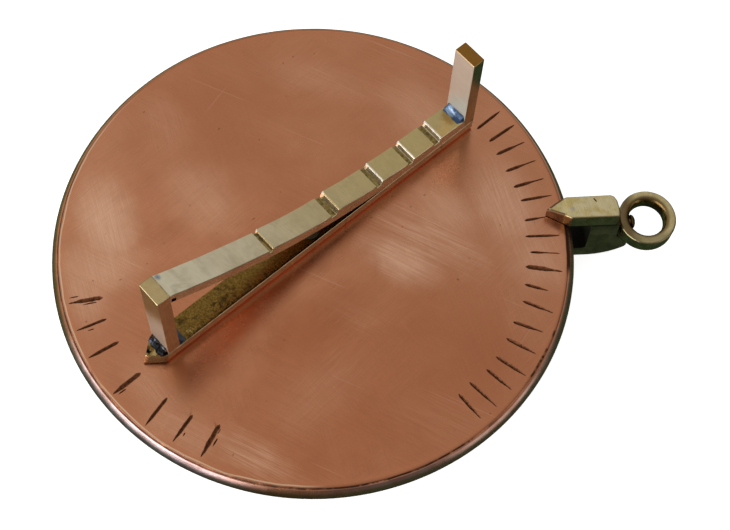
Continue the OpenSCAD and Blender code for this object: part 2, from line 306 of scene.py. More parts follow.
class Mat:
    """Small helper for procedural node materials; coordinates are in millimetres of the part frame."""

    def __init__(self, name):
        self.m = bpy.data.materials.new(name)
        self.m.use_nodes = True
        self.t = self.m.node_tree
        self.t.nodes.clear()
        self.out = self.t.nodes.new("ShaderNodeOutputMaterial")
        self.b = self.t.nodes.new("ShaderNodeBsdfPrincipled")
        self.t.links.new(self.b.outputs[0], self.out.inputs[0])
        tc = self.t.nodes.new("ShaderNodeTexCoord")
        self.obj = self.vm("SCALE", tc.outputs["Object"], scale=1000.0)
        self.nrm = tc.outputs["Normal"]

    def put(self, socket, x):
        if x is None:
            return
        if isinstance(x, bpy.types.NodeSocket):
            self.t.links.new(x, socket)
        elif hasattr(x, "__len__") and socket.type == "RGBA" and len(x) == 3:
            socket.default_value = (*x, 1.0)
        else:
            socket.default_value = x

    def set(self, name, x):
        self.put(self.b.inputs[name], x)

    def vm(self, op, a, b=None, scale=None):
        n = self.t.nodes.new("ShaderNodeVectorMath")
        n.operation = op
        self.put(n.inputs[0], a)
        self.put(n.inputs[1], b)
        if scale is not None:
            self.put(n.inputs["Scale"], scale)
        return n.outputs["Value" if op in ("LENGTH", "DOT_PRODUCT", "DISTANCE") else "Vector"]

    def ma(self, op, a, b=None, c=None, clamp=False):
        n = self.t.nodes.new("ShaderNodeMath")
        n.operation = op
        n.use_clamp = clamp
        self.put(n.inputs[0], a)
        self.put(n.inputs[1], b)
        self.put(n.inputs[2], c)
        return n.outputs[0]

    def xyz(self, v):
        n = self.t.nodes.new("ShaderNodeSeparateXYZ")
        self.put(n.inputs[0], v)
        return n.outputs[0], n.outputs[1], n.outputs[2]

    def local(self, v, loc=(0, 0, 0), rot=0.0, scale=(1, 1, 1)):
        n = self.t.nodes.new("ShaderNodeMapping")
        n.vector_type = "TEXTURE"
        self.put(n.inputs["Vector"], v)
        n.inputs["Location"].default_value = loc
        n.inputs["Rotation"].default_value = (0, 0, rot) if not hasattr(rot, "__len__") else rot
        n.inputs["Scale"].default_value = scale
        return n.outputs[0]

    def noise(self, v, scale, detail=3.0, rough=0.5, dist=0.0):
        n = self.t.nodes.new("ShaderNodeTexNoise")
        self.put(n.inputs["Vector"], v)
        self.put(n.inputs["Scale"], scale)
        n.inputs["Detail"].default_value = detail
        n.inputs["Roughness"].default_value = rough
        n.inputs["Distortion"].default_value = dist
        return n.outputs["Fac"]

    def step(self, x, lo, hi, a=0.0, b=1.0, kind="SMOOTHSTEP"):
        n = self.t.nodes.new("ShaderNodeMapRange")
        n.interpolation_type = kind
        n.clamp = True
        self.put(n.inputs["Value"], x)
        self.put(n.inputs["From Min"], lo)
        self.put(n.inputs["From Max"], hi)
        self.put(n.inputs["To Min"], a)
        self.put(n.inputs["To Max"], b)
        return n.outputs[0]

    def mix(self, f, a, b, blend="MIX"):
        n = self.t.nodes.new("ShaderNodeMix")
        n.data_type = "RGBA"
        n.blend_type = blend
        n.clamp_factor = True
        self.put(n.inputs[0], f)
        self.put(n.inputs[6], a)
        self.put(n.inputs[7], b)
        return n.outputs[2]

    def brush(self, v, rot, length, width, seed=0.0, detail=2.0):
        """Fine parallel scratches: noise drawn out along one direction."""
        return self.noise(self.local(v, (seed * 13.7, seed * 5.1, seed * 2.3), rot, (length, width, width)), 1.0, detail, 0.55)

    def bump(self, h, distance, strength=1.0, normal=None):
        n = self.t.nodes.new("ShaderNodeBump")
        n.inputs["Strength"].default_value = strength
        n.inputs["Distance"].default_value = distance
        self.put(n.inputs["Height"], h)
        if normal is not None:
            self.put(n.inputs["Normal"], normal)
        return n.outputs[0]

    def warp(self, v, scale, amount):
        """The same coordinates, pushed about by a few millimetres, so that patches get ragged outlines."""
        n = self.t.nodes.new("ShaderNodeTexNoise")
        self.put(n.inputs["Vector"], v)
        n.inputs["Scale"].default_value = scale
        n.inputs["Detail"].default_value = 3.0
        off = self.vm("SCALE", self.vm("SUBTRACT", n.outputs["Color"], (0.5, 0.5, 0.5)), scale=amount)
        return self.vm("ADD", v, off)

    def near(self, v, at, r0, r1):
        """1 close to a point, 0 beyond r1."""
        return self.step(self.vm("DISTANCE", v, at), r0, r1, 1.0, 0.0)


# patches of painted sheen where the emery strokes catch the light, pale on the copper: centre (mm from the disc's
# centre), half sizes, direction of the strokes, strength, and how streaky it is
RUB_SHEEN_PATCHES = [
    (-47.0, 9.0, 15.0, 8.0, -78, 0.86, 0.40), (-52.0, -8.0, 11.0, 6.0, -82, 0.48, 0.45), (27.0, -2.0, 17.0, 8.5, -33, 0.62, 0.70),
    (45.0, 6.0, 15.0, 9.5, -76, 0.62, 0.50), (7.0, -19.0, 11.0, 5.0, -28, 0.26, 0.75), (-17.0, -50.0, 13.0, 5.0, -33, 0.58, 0.75),
    (22.0, -44.0, 14.0, 7.0, -33, 0.20, 0.80), (-1.0, -37.0, 15.0, 8.0, 40, 0.36, 0.50), (-37.0, -33.0, 12.0, 7.0, -60, 0.34, 0.50),
    (29.0, 32.0, 14.0, 9.0, -48, 0.34, 0.40), (-25.0, 14.0, 14.0, 9.0, -60, 0.36, 0.40), (45.0, -22.0, 13.0, 7.0, -76, 0.16, 0.70),
    (4.0, 44.0, 16.0, 6.0, -20, 0.20, 0.50), (-33.0, 34.0, 12.0, 7.0, -70, 0.18, 0.60), (20.0, -6.0, 12.0, 6.5, -33, 0.85, 0.45),
    (31.0, 6.0, 11.0, 8.0, -50, 0.50, 0.40), (50.0, -9.0, 10.0, 9.0, -76, 0.46, 0.45), (-32.5, -42.7, 13.0, 6.0, -33, 0.34, 0.50), (-49.0, -2.0, 9.0, 12.0, -78, 0.55, 0.35),
]


def copper_face():
    m = Mat("brushed_copper")
    p = m.local(m.obj, (DISC_C[0], DISC_C[1], TOP))
    x, y, z = m.xyz(p)
    r = m.ma("SQRT", m.ma("ADD", m.ma("MULTIPLY", x, x), m.ma("MULTIPLY", y, y)))
    q = m.warp(p, 0.16, 5.0)
    # emery strokes of several directions, patch by patch
    fam = {-33: m.brush(p, math.radians(-33), 9.0, 0.20, 1, 2.0), -78: m.brush(p, math.radians(-78), 8.0, 0.19, 2, 2.0),
           40: m.brush(p, math.radians(40), 8.0, 0.22, 3, 2.0), -55: m.brush(p, math.radians(-57), 10.0, 0.20, 4, 2.0)}
    wa = m.step(m.noise(p, 0.035, 2.0, 0.5), 0.42, 0.56)
    wb = m.step(m.noise(p, 0.030, 2.0, 0.5, 0.4), 0.44, 0.58)
    general = m.mixf(wa, m.mixf(wb, fam[-33], fam[-55]), m.mixf(wb, fam[-78], fam[40]))
    rub_sheen = None
    for cx, cy, a, b, ang, k, streak in RUB_SHEEN_PATCHES:
        near_fam = min(fam, key=lambda f: abs(f - ang))
        d = m.vm("LENGTH", m.local(q, (cx, cy, 0), math.radians(ang), (a, b, 6.0)))
        blob = m.step(d, 0.15, 1.15, k, 0.0)
        lines = m.step(fam[near_fam], 0.34, 0.70, 1.0 - streak, 1.0)
        one = m.ma("MULTIPLY", blob, lines)
        rub_sheen = one if rub_sheen is None else m.ma("MAXIMUM", rub_sheen, one)
    # a few long stray scratches
    s1 = m.brush(p, math.radians(-30), 70.0, 0.30, 8, 1.0)
    s2 = m.brush(p, math.radians(52), 60.0, 0.30, 9, 1.0)
    stray = m.ma("MAXIMUM", m.step(s1, 0.72, 0.78), m.step(s2, 0.75, 0.80))
    stray = m.ma("MULTIPLY", stray, m.step(m.noise(p, 0.06, 1.0), 0.50, 0.64))
    # colour: warm brown copper, paler and creamier in the rubbed patches, which are rubbed copper with a painted sheen
    tone = m.noise(p, 0.024, 3.0, 0.55, 0.6)
    cloud = m.noise(p, 0.11, 4.0, 0.6, 0.3)
    col = m.mix(m.step(tone, 0.36, 0.64), (0.555, 0.212, 0.102), (0.625, 0.258, 0.132))
    col = m.mix(m.step(cloud, 0.45, 0.75, 0.0, 0.35), col, (0.52, 0.188, 0.088))
    # painted light: the copper paler towards its right and towards its left end; it is also darker towards the upper
    # left
    dim_upper_left = m.near(p, (-30.0, 36.0, 0.0), 6.0, 34.0)
    col = m.mix(m.ma("MULTIPLY", dim_upper_left, 0.25), col, (0.53, 0.21, 0.112))
    col = m.mix(m.step(x, -20.0, 52.0, 0.0, 0.22), col, (0.74, 0.37, 0.22))
    col = m.mix(m.step(x, -34.0, -54.0, 0.0, 0.20), col, (0.80, 0.42, 0.25))
    col = m.mix(rub_sheen, col, (0.97, 0.58, 0.38))
    # painted shade: the lower right of the disc darker; also a darker band below the middle and a darker patch to the
    # left
    deep = m.step(m.vm("LENGTH", m.local(q, (17.0, -35.0, 0), math.radians(25), (44.0, 27.0, 20.0))), 0.35, 1.15, 0.56, 0.0)
    col = m.mix(deep, col, (0.47, 0.150, 0.062))
    deep2 = m.step(m.vm("LENGTH", m.local(q, (0.0, -19.0, 0), math.radians(32), (18.0, 8.0, 20.0))), 0.3, 1.15, 0.50, 0.0)
    col = m.mix(deep2, col, (0.42, 0.125, 0.048))
    dark_left_patch = m.vm("LENGTH", m.local(q, (-33.0, 5.0, 0), 0.3, (7.0, 5.0, 5.0)))
    col = m.mix(m.step(dark_left_patch, 0.2, 1.1, 0.28, 0.0), col, (0.44, 0.155, 0.07))
    fine = m.mixf(wa, m.brush(p, math.radians(-42), 3.0, 0.11, 11, 2.0), m.brush(p, math.radians(35), 2.6, 0.11, 12, 2.0))
    line = m.step(m.ma("MULTIPLY", m.ma("ADD", general, fine), 0.5), 0.38, 0.62, 0.955, 1.045)
    col = m.mix(1.0, col, m.comb(line), "MULTIPLY")
    col = m.mix(m.ma("MULTIPLY", stray, 0.40), col, (0.98, 0.66, 0.46))
    dot = m.step(m.noise(p, 0.62, 1.0, 0.5), 0.765, 0.79)
    col = m.mix(m.ma("MULTIPLY", dot, 0.55), col, (0.20, 0.07, 0.03))
    # the edge band: a painted highlight line, painted shade along the step and an orange shoulder
    ang = m.ma("ARCTAN2", y, x)
    arc = m.noise(m.local(p, (3, 8, 0)), 0.07, 3.0, 0.6)
    arc2 = m.noise(m.local(p, (31, -8, 0)), 0.30, 3.0, 0.65)
    wob = m.ma("MULTIPLY", m.ma("SUBTRACT", m.noise(p, 0.12, 2.0), 0.5), 0.7)
    rw = m.ma("ADD", r, wob)

    def sector(a0, a1, soft=0.07):
        u = m.step(ang, math.radians(a0) - soft, math.radians(a0) + soft)
        v = m.step(ang, math.radians(a1) - soft, math.radians(a1) + soft, 1.0, 0.0)
        return m.ma("MULTIPLY", u, v)

    def band(rr, a, b, soft=0.10):
        return m.ma("MULTIPLY", m.step(rr, a - soft, a + soft), m.step(rr, b - soft, b + soft, 1.0, 0.0))

    warm = m.ma("MULTIPLY", m.step(r, 56.0, 58.3), m.step(arc, 0.35, 0.62, 0.25, 0.75))
    col = m.mix(m.ma("MULTIPLY", warm, 0.6), col, (0.66, 0.24, 0.11))
    # painted highlight where the flat face turns into the shoulder, on the lower and the upper left
    bright = m.ma("MULTIPLY", band(rw, 57.75, 58.05), m.ma("MAXIMUM", sector(-150, -95), m.step(ang, 2.2, 2.7)))
    bright = m.ma("MAXIMUM", bright, m.ma("MULTIPLY", band(rw, 57.75, 58.05), m.step(ang, -2.62, -2.75)))
    col = m.mix(m.ma("MULTIPLY", bright, 0.75), col, (1.0, 0.70, 0.46))
    # painted shade: dark lines along the step and on the shoulder, strongest at the lower left and near the shackle
    corner = m.ma("MULTIPLY", band(rw, 58.28, 58.62, 0.07), m.step(arc2, 0.36, 0.52))
    where = m.ma("MAXIMUM", m.ma("MULTIPLY", sector(-108, -52, 0.15), 1.0), m.ma("MULTIPLY", m.step(ang, -2.9, -3.0), 0.5))
    where = m.ma("MAXIMUM", where, m.ma("MAXIMUM", m.ma("MULTIPLY", sector(-172, -118, 0.2), 0.65), 0.12))
    shade_smear = m.ma("MULTIPLY", band(rw, 57.95, 58.85, 0.12), m.ma("MAXIMUM", sector(-12, 1, 0.03), m.ma("MULTIPLY", m.ma("MULTIPLY", sector(-41, -26, 0.05), m.step(arc2, 0.44, 0.60)), m.step(rw, 58.50, 58.36))))
    dark = m.ma("MAXIMUM", m.ma("MULTIPLY", corner, where), shade_smear)
    second = m.ma("MULTIPLY", band(rw, 58.95, 59.12, 0.05), m.ma("MULTIPLY", sector(-165, -112, 0.15), m.step(arc2, 0.40, 0.55)))
    dark = m.ma("MAXIMUM", dark, m.ma("MULTIPLY", second, 0.6))
    col = m.mix(m.ma("MULTIPLY", dark, 0.92), col, (0.045, 0.020, 0.012))
    # the shoulder orange; its pale rosy colour on the right is painted sheen
    shoulder = m.ma("MULTIPLY", m.step(r, 58.60, 58.75), m.step(r, 59.85, 59.97, 1.0, 0.0))
    scol = m.mix(m.step(arc2, 0.35, 0.7), (0.70, 0.33, 0.17), (0.52, 0.21, 0.10))
    rosy_sheen = m.step(m.ma("SUBTRACT", x, m.ma("MULTIPLY", y, 0.3)), 5.0, 35.0)
    scol = m.mix(rosy_sheen, scol, m.mix(m.step(arc2, 0.35, 0.7), (0.98, 0.66, 0.56), (0.80, 0.46, 0.38)))
    col = m.mix(m.ma("MULTIPLY", m.ma("MULTIPLY", shoulder, m.ma("SUBTRACT", 1.0, dark)), 0.7), col, scol)
    # painted sheen: the lower left of the rim pale lavender, over the window's own reflection there
    lavender_rim_sheen = m.ma("MULTIPLY", m.near(p, (-42.0, -42.0, -1.0), 12.0, 38.0), m.step(r, 58.5, 58.8))
    lavender_rim_sheen = m.ma("MULTIPLY", lavender_rim_sheen, m.ma("SUBTRACT", 1.0, m.ma("MULTIPLY", dark, 0.9)))
    shade = m.noise(m.local(p, (5, 2, 0)), 0.16, 3.0, 0.6)
    col = m.mix(m.ma("MULTIPLY", lavender_rim_sheen, 0.85), col, m.mix(m.step(shade, 0.36, 0.64), (0.60, 0.51, 0.55), (0.36, 0.275, 0.28)))
    # painted shade on the steep part of the step, along the left, where it is also rougher
    step_shade = m.ma("MULTIPLY", band(r, 58.24, 58.52, 0.05), m.ma("MAXIMUM", sector(-185, -100, 0.2), m.step(ang, 2.5, 2.8)))
    step_shade = m.ma("MULTIPLY", step_shade, m.step(arc2, 0.30, 0.55, 0.55, 0.95))
    col = m.mix(step_shade, col, (0.125, 0.062, 0.042))
    # painted dark reflection on the wall below the shoulder, dark green-black, higher towards the near lower left
    lower = m.step(m.ma("ADD", x, m.ma("MULTIPLY", y, 0.6)), -15.0, -48.0, 0.0, 0.62)
    wall_dark_reflection = m.step(m.ma("ADD", m.ma("ADD", z, lower), m.ma("MULTIPLY", m.ma("SUBTRACT", arc2, 0.5), 0.5)), -2.08, -2.42)
    wall_dark_reflection = m.ma("MULTIPLY", wall_dark_reflection, m.step(r, 59.0, 59.4))
    wall_dark_colour = m.mix(m.step(m.noise(p, 0.5, 4.0, 0.6), 0.40, 0.66), (0.030, 0.036, 0.024), (0.13, 0.095, 0.055))
    col = m.mix(wall_dark_reflection, col, wall_dark_colour)
    # the back: duller and spotted
    back = m.step(z, -2.6, -2.9)
    bspot = m.noise(p, 0.12, 5.0, 0.62, 0.5)
    bcol = m.mix(m.step(bspot, 0.38, 0.66), (0.33, 0.135, 0.075), (0.56, 0.27, 0.155))
    bcol = m.mix(m.ma("MULTIPLY", m.near(p, (0.0, 0.0, -3.0), 5.0, 26.0), 0.55), bcol, (0.17, 0.075, 0.075))
    col = m.mix(m.ma("MULTIPLY", back, m.step(r, 59.3, 59.0)), col, bcol)
    rough = m.ma("ADD", m.step(line, 0.96, 1.04, 0.265, 0.235), m.step(cloud, 0.35, 0.7, -0.02, 0.05))
    rough = m.ma("ADD", rough, m.ma("MULTIPLY", rub_sheen, 0.10))
    rough = m.mix(m.ma("MULTIPLY", lavender_rim_sheen, 0.8), rough, (0.34, 0.34, 0.34))
    rough = m.mix(step_shade, rough, (0.50, 0.50, 0.50))
    rough = m.mix(wall_dark_reflection, rough, (0.40, 0.40, 0.40))
    rough = m.mix(m.ma("MAXIMUM", dark, m.ma("MULTIPLY", back, 0.5)), rough, (0.5, 0.5, 0.5))
    # relief: shallow strokes, deeper where the emery bit
    h = m.ma("MULTIPLY", general, m.ma("ADD", 0.35, rub_sheen))
    h = m.ma("SUBTRACT", h, m.ma("MULTIPLY", stray, 0.5))
    wave = m.noise(p, 0.045, 2.0, 0.4)
    n0 = m.bump(wave, 0.00016, 0.5)
    m.set("Base Color", col)
    m.set("Metallic", 1.0)
    m.set("Roughness", rough)
    m.set("Normal", m.bump(h, 0.0000017, 1.0, n0))
    return m.m


def comb(self, x):
    n = self.t.nodes.new("ShaderNodeCombineXYZ")
    for i in range(3):
        self.put(n.inputs[i], x)
    return n.outputs[0]


Mat.comb = comb


def mark_dark():
    m = Mat("cut_mark")
    p = m.obj
    f = m.noise(p, 1.6, 4.0, 0.65)
    col = m.mix(m.step(f, 0.34, 0.66), (0.085, 0.026, 0.009), (0.21, 0.075, 0.028))
    z = m.xyz(p)[2]
    col = m.mix(m.step(z, TOP - 0.10, TOP - 0.01, 0.0, 0.55), col, (0.30, 0.12, 0.06))
    m.set("Base Color", col)
    m.set("Metallic", 0.35)
    m.set("Specular IOR Level", 0.12)
    m.set("Roughness", m.step(f, 0.3, 0.7, 0.62, 0.42))
    m.set("Normal", m.bump(f, 0.00006, 0.8))
    return m.m


def brass(name, top, side, place_at=None, tarnish=0.3, tcol=(0.12, 0.085, 0.03), rough=0.24,
          side_rough=0.17, spots=(), front_sheen=None, near_side=None, edge=None, along_to=None, flecks=None, haze=0.0):
    """Filed and rubbed brass in the gnomon's own directions: crosswise strokes on top, along the sides."""
    m = Mat(name)
    if place_at is None:
        p = m.local(m.obj, (PIVOT[0], PIVOT[1], 0), GN)
        nn = m.local(m.nrm, (0, 0, 0), GN)
    else:
        p = m.local(m.obj, place_at)
        nn = m.nrm
    nx, ny, nzz = m.xyz(nn)
    up = m.step(nzz, 0.35, 0.75)
    across = m.noise(m.local(p, (0.7, 0, 0), 0, (0.085, 4.0, 4.0)), 1.0, 3.0, 0.6)
    along = m.noise(m.local(p, (0, 3, 0), 0, (7.0, 5.0, 0.10)), 1.0, 3.0, 0.6)
    across2 = m.noise(m.local(p, (4.7, 0, 0), math.radians(14), (0.07, 4.0, 3.0)), 1.0, 2.0, 0.6)
    strokes = m.mixf(up, along, m.ma("MULTIPLY", m.ma("ADD", across, across2), 0.5))
    blot = m.noise(p, 0.22, 4.0, 0.62, 0.4)
    fleck = m.noise(p, 1.5, 5.0, 0.7)
    body = m.mix(m.step(blot, 0.36, 0.64), tuple(c * 0.90 for c in top), tuple(min(1, c * 1.08) for c in top))
    if along_to:
        # the colour drifts along the bar: (other end's colour, s0, s1)
        body = m.mix(m.step(m.xyz(p)[0], along_to[1], along_to[2]), body, m.mix(m.step(blot, 0.36, 0.64), tuple(c * 0.92 for c in along_to[0]), along_to[0]))
    if flecks:
        # black specks of old flux, thick along the near edge, thin elsewhere
        fl = m.noise(m.local(p, (2, 1, 0), 0, (0.36, 0.24, 1.0)), 1.0, 2.0, 0.6)
        edge_w = m.step(m.xyz(p)[1], -1.0, -2.5, 0.0, 1.0)
        lim = m.ma("SUBTRACT", flecks, m.ma("MULTIPLY", edge_w, 0.12))
        lim = m.ma("SUBTRACT", lim, m.step(blot, 0.45, 0.65, 0.0, 0.05))
        body = m.mix(m.ma("MULTIPLY", m.step(fl, lim, m.ma("ADD", lim, 0.04)), 0.9), body, (0.012, 0.009, 0.005))
        gold = m.vm("LENGTH", m.local(p, (-35.9, -1.7, 0), math.radians(-9), (3.1, 1.25, 9.0)))
        hatch = m.noise(m.local(p, (0, 0, 0), math.radians(35), (0.10, 1.6, 3.0)), 1.0, 2.0, 0.6)
        body = m.mix(m.ma("MULTIPLY", m.step(m.ma("ADD", gold, m.ma("MULTIPLY", m.ma("SUBTRACT", fl, 0.5), 1.2)), 0.45, 0.95, 0.95, 0.0), m.step(hatch, 0.34, 0.60, 0.25, 1.0)), body, (0.95, 0.68, 0.27))
        # a patchy dark line along the near edge of the top
        yy = m.xyz(p)[1]
        nearline = m.ma("MULTIPLY", m.step(yy, -2.86, -2.80), m.step(yy, -2.66, -2.56, 1.0, 0.0))
        body = m.mix(m.ma("MULTIPLY", nearline, m.step(blot, 0.38, 0.5, 0.35, 0.9)), body, (0.020, 0.014, 0.007))
    sidec = m.mix(m.step(blot, 0.36, 0.64), tuple(c * 0.85 for c in side), tuple(min(1, c * 1.1) for c in side))
    col = m.mix(up, sidec, body)
    col = m.mix(1.0, col, m.comb(m.step(strokes, 0.32, 0.68, 0.92, 1.07)), "MULTIPLY")
    dirt = m.ma("MULTIPLY", m.step(m.ma("ADD", blot, m.ma("MULTIPLY", m.ma("SUBTRACT", fleck, 0.5), 0.6)), 0.52, 0.74), tarnish)
    col = m.mix(dirt, col, tcol)
    speck = m.step(m.noise(p, 3.2, 2.0, 0.6), 0.70, 0.76)
    col = m.mix(m.ma("MULTIPLY", speck, 0.5), col, tuple(c * 0.4 for c in tcol))
    ro = m.mixf(up, side_rough, rough)
    x, y, z = m.xyz(p)
    metal = m.mixf(up, 1.0 - haze, 1.0)
    if flecks:
        # painted reflection: the lower edges coloured copper-red, so that the disc beneath mirrors a red glow
        red_glow_paint = m.step(z, BASE_Z0 + 0.75, BASE_Z0 + 0.45)
        col = m.mix(m.ma("MULTIPLY", red_glow_paint, 0.85), col, (0.86, 0.38, 0.19))
        metal = m.mixf(red_glow_paint, metal, 1.0)
        # the two facets of the date point are left grey-brown from the file
        tip = m.ma("MULTIPLY", m.step(x, -43.1, -43.5), m.ma("SUBTRACT", 1.0, up))
        col = m.mix(tip, col, m.mix(m.step(strokes, 0.35, 0.65), (0.31, 0.205, 0.105), (0.50, 0.335, 0.185)))
        # fine grain of the sawn strip
        grain = m.noise(p, 2.6, 4.0, 0.7)
        col = m.mix(up, col, m.mix(1.0, col, m.comb(m.step(grain, 0.36, 0.66, 0.62, 1.55)), "MULTIPLY"))
    if front_sheen:
        # the face that looks back along the bar, rubbed, and given a soft grey painted sheen where the window light
        # falls: (low colour, high colour, z0, z1, roughness)
        lowc, highc, z0, z1, fr, front_metal = front_sheen
        face = m.step(nx, -0.55, -0.85)
        rub_sheen = m.noise(m.local(p, (1, 2, 3), 0, (0.10, 5.0, 0.10)), 1.0, 3.0, 0.6)
        zz = m.ma("ADD", z, m.ma("ADD", m.ma("MULTIPLY", y, 0.9), m.ma("MULTIPLY", m.ma("SUBTRACT", blot, 0.5), 9.0)))
        fc = m.mix(m.step(zz, z0, z1), lowc, highc)
        fc = m.mix(1.0, fc, m.comb(m.step(rub_sheen, 0.32, 0.68, 0.88, 1.10)), "MULTIPLY")
        col = m.mix(face, col, fc)
        ro = m.mixf(face, ro, fr)
        # the scratched part shines in every direction, so it isn't a mirror
        metal = m.mixf(face, metal, m.mixf(m.step(zz, z0, z1), front_metal[0], front_metal[1]))
    if near_side:
        # the side towards the maker's right hand: (low colour, high colour, z0, z1)
        lowc, highc, z0, z1 = near_side
        face = m.step(ny, -0.6, -0.85)
        zz = m.ma("ADD", z, m.ma("ADD", m.ma("MULTIPLY", x, 0.8), m.ma("MULTIPLY", m.ma("SUBTRACT", blot, 0.5), 5.0)))
        col = m.mix(face, col, m.mix(m.step(zz, z0, z1), lowc, highc))
    if edge:
        # edges between a top and its sides are rubbed bright, and carry a painted highlight
        edge_wear_and_painted_light = m.ma("MULTIPLY", m.step(nzz, 0.12, 0.35), m.step(nzz, 0.80, 0.95, 1.0, 0.0))
        edge_wear_and_painted_light = m.ma("MULTIPLY", edge_wear_and_painted_light, m.step(blot, 0.30, 0.55, 0.5, 1.0))
        col = m.mix(m.ma("MULTIPLY", edge_wear_and_painted_light, 0.85), col, edge)
        ro = m.mixf(edge_wear_and_painted_light, ro, 0.2)
    ro = m.ma("ADD", ro, m.step(strokes, 0.3, 0.7, 0.05, -0.04))
    ro = m.ma("ADD", ro, m.ma("MULTIPLY", dirt, 0.25))
    for at, r0, r1, c, k in spots:
        f = m.step(m.ma("ADD", m.vm("DISTANCE", p, at), m.ma("MULTIPLY", m.ma("SUBTRACT", fleck, 0.5), r1 * 0.9)), r0, r1, k, 0.0)
        col = m.mix(f, col, c)
    m.set("Base Color", col)
    m.set("Metallic", metal)
    m.set("Roughness", ro)
    n0 = m.bump(m.noise(p, 0.35, 2.0, 0.5), 0.00003, 0.5)
    m.set("Normal", m.bump(m.ma("ADD", strokes, m.ma("MULTIPLY", fleck, 0.15)), 0.0000028, 1.0, n0))
    return m


def mixf(self, f, a, b):
    n = self.t.nodes.new("ShaderNodeMix")
    n.data_type = "FLOAT"
    self.put(n.inputs[0], f)
    self.put(n.inputs[2], a)
    self.put(n.inputs[3], b)
    return n.outputs[0]


Mat.mixf = mixf

CREAM = (0.59, 0.50, 0.325)
SIDE = (0.78, 0.60, 0.38)
PALE = (0.98, 0.88, 0.66)

mat_disc = copper_face()
mat_mark = mark_dark()
mat_hour = brass("hour_bar_brass", CREAM, SIDE, tarnish=0.05, edge=PALE, along_to=((0.62, 0.475, 0.215), -34.0, 30.0), haze=0.12, rough=0.22,
                 spots=[((43.6, 0.0, BASE_Z1 + 3.0), 1.2, 3.2, (0.34, 0.20, 0.06), 0.75),
                        ((-39.0, 2.2, BASE_Z1 + 25.2), 0.3, 1.1, (0.20, 0.26, 0.36), 0.8)]).m


def groove_brass():
    """Floors of the hour notches: olive and dark, where the emery doesn't reach."""
    m = Mat("notch_brass")
    p = m.local(m.obj, (PIVOT[0], PIVOT[1], 0), GN)
    f = m.noise(p, 1.3, 4.0, 0.65)
    a = m.noise(m.local(p, (0, 0, 0), 0, (0.10, 4.0, 3.0)), 1.0, 3.0)
    col = m.mix(m.step(f, 0.36, 0.64), (0.10, 0.07, 0.022), (0.36, 0.26, 0.085))
    col = m.mix(m.step(a, 0.50, 0.75, 0.0, 0.7), col, (0.72, 0.52, 0.20))
    m.set("Base Color", col)
    m.set("Metallic", 1.0)
    m.set("Roughness", m.step(f, 0.3, 0.7, 0.30, 0.48))
    m.set("Normal", m.bump(m.ma("ADD", a, f), 0.00001, 1.0))
    return m.m


mat_notch = groove_brass()


def lip_brass_highlight():
    """The right-hand walls of the notches, left bright by the file, with a painted highlight: whiter towards the
    upright and white along the far edge.
    """
    m = Mat("lip_brass_highlight")
    p = m.local(m.obj, (PIVOT[0], PIVOT[1], 0), GN)
    f = m.noise(p, 1.1, 3.0, 0.6)
    a = m.noise(m.local(p, (0, 0, 0), 0, (0.10, 3.0, 0.10)), 1.0, 3.0)
    x, y, z = m.xyz(p)
    gold = m.mix(m.step(f, 0.36, 0.66), (0.86, 0.68, 0.36), (0.66, 0.48, 0.20))
    white = m.mix(m.step(f, 0.36, 0.66), (1.0, 0.95, 0.84), (0.86, 0.74, 0.52))
    col = m.mix(m.step(x, 8.0, 18.0), gold, white)
    burr_glint = m.step(y, 2.50, 2.80)
    m.set("Base Color", m.mix(burr_glint, col, (1.0, 0.97, 0.92)))
    m.set("Metallic", m.mixf(burr_glint, m.step(x, 8.0, 18.0, 0.85, 0.60), 0.10))
    m.set("Roughness", m.step(a, 0.3, 0.7, 0.14, 0.26))
    m.set("Normal", m.bump(m.ma("ADD", a, f), 0.000006, 1.0))
    return m.m


mat_lip_highlight = lip_brass_highlight()
mat_base = brass("base_bar_brass", (0.205, 0.118, 0.026), (0.70, 0.50, 0.30), tarnish=0.75, tcol=(0.040, 0.024, 0.008),
                 rough=0.27, side_rough=0.15, edge=(0.86, 0.68, 0.42), flecks=0.66, haze=0.08,
                 spots=[((-46.9, 1.0, BASE_Z1), 0.5, 1.3, (0.74, 0.60, 0.26), 0.9),
                        ((-45.1, -1.3, BASE_Z1), 0.6, 1.5, (0.62, 0.46, 0.18), 0.8),
                        ((-45.75, 0.45, BASE_Z1), 0.35, 0.85, (0.008, 0.007, 0.006), 1.0),
                        ((-45.5, 1.6, BASE_Z1), 0.2, 0.6, (0.008, 0.007, 0.006), 1.0),
                        ((-44.4, -1.9, BASE_Z1), 0.10, 0.35, (0.01, 0.009, 0.008), 1.0)]).m
mat_post = brass("post_brass", (0.54, 0.40, 0.19), (0.63, 0.45, 0.25), tarnish=0.16, rough=0.22, side_rough=0.2, haze=0.08,
                 front_sheen=((0.47, 0.36, 0.27), (0.36, 0.215, 0.085), BASE_Z1 + 10.0, BASE_Z1 + 20.0, 0.42, (0.45, 0.85)), edge=(0.62, 0.50, 0.30)).m
mat_upright = brass("upright_brass", (0.31, 0.140, 0.026), (0.70, 0.52, 0.34), tarnish=0.25, rough=0.24, side_rough=0.2, haze=0.04,
                    front_sheen=((0.62, 0.63, 0.55), (0.66, 0.58, 0.48), BASE_Z1 + 4.0, BASE_Z1 + 14.0, 0.46, (0.30, 0.42)),
                    near_side=((0.53, 0.44, 0.26), (0.35, 0.35, 0.17), BASE_Z1 + 48.0, BASE_Z1 + 60.0), edge=(0.62, 0.42, 0.18),
                    spots=[((45.2, 0.0, BASE_Z1 + 4.4), 0.6, 2.4, (0.50, 0.40, 0.36), 0.5)]).m


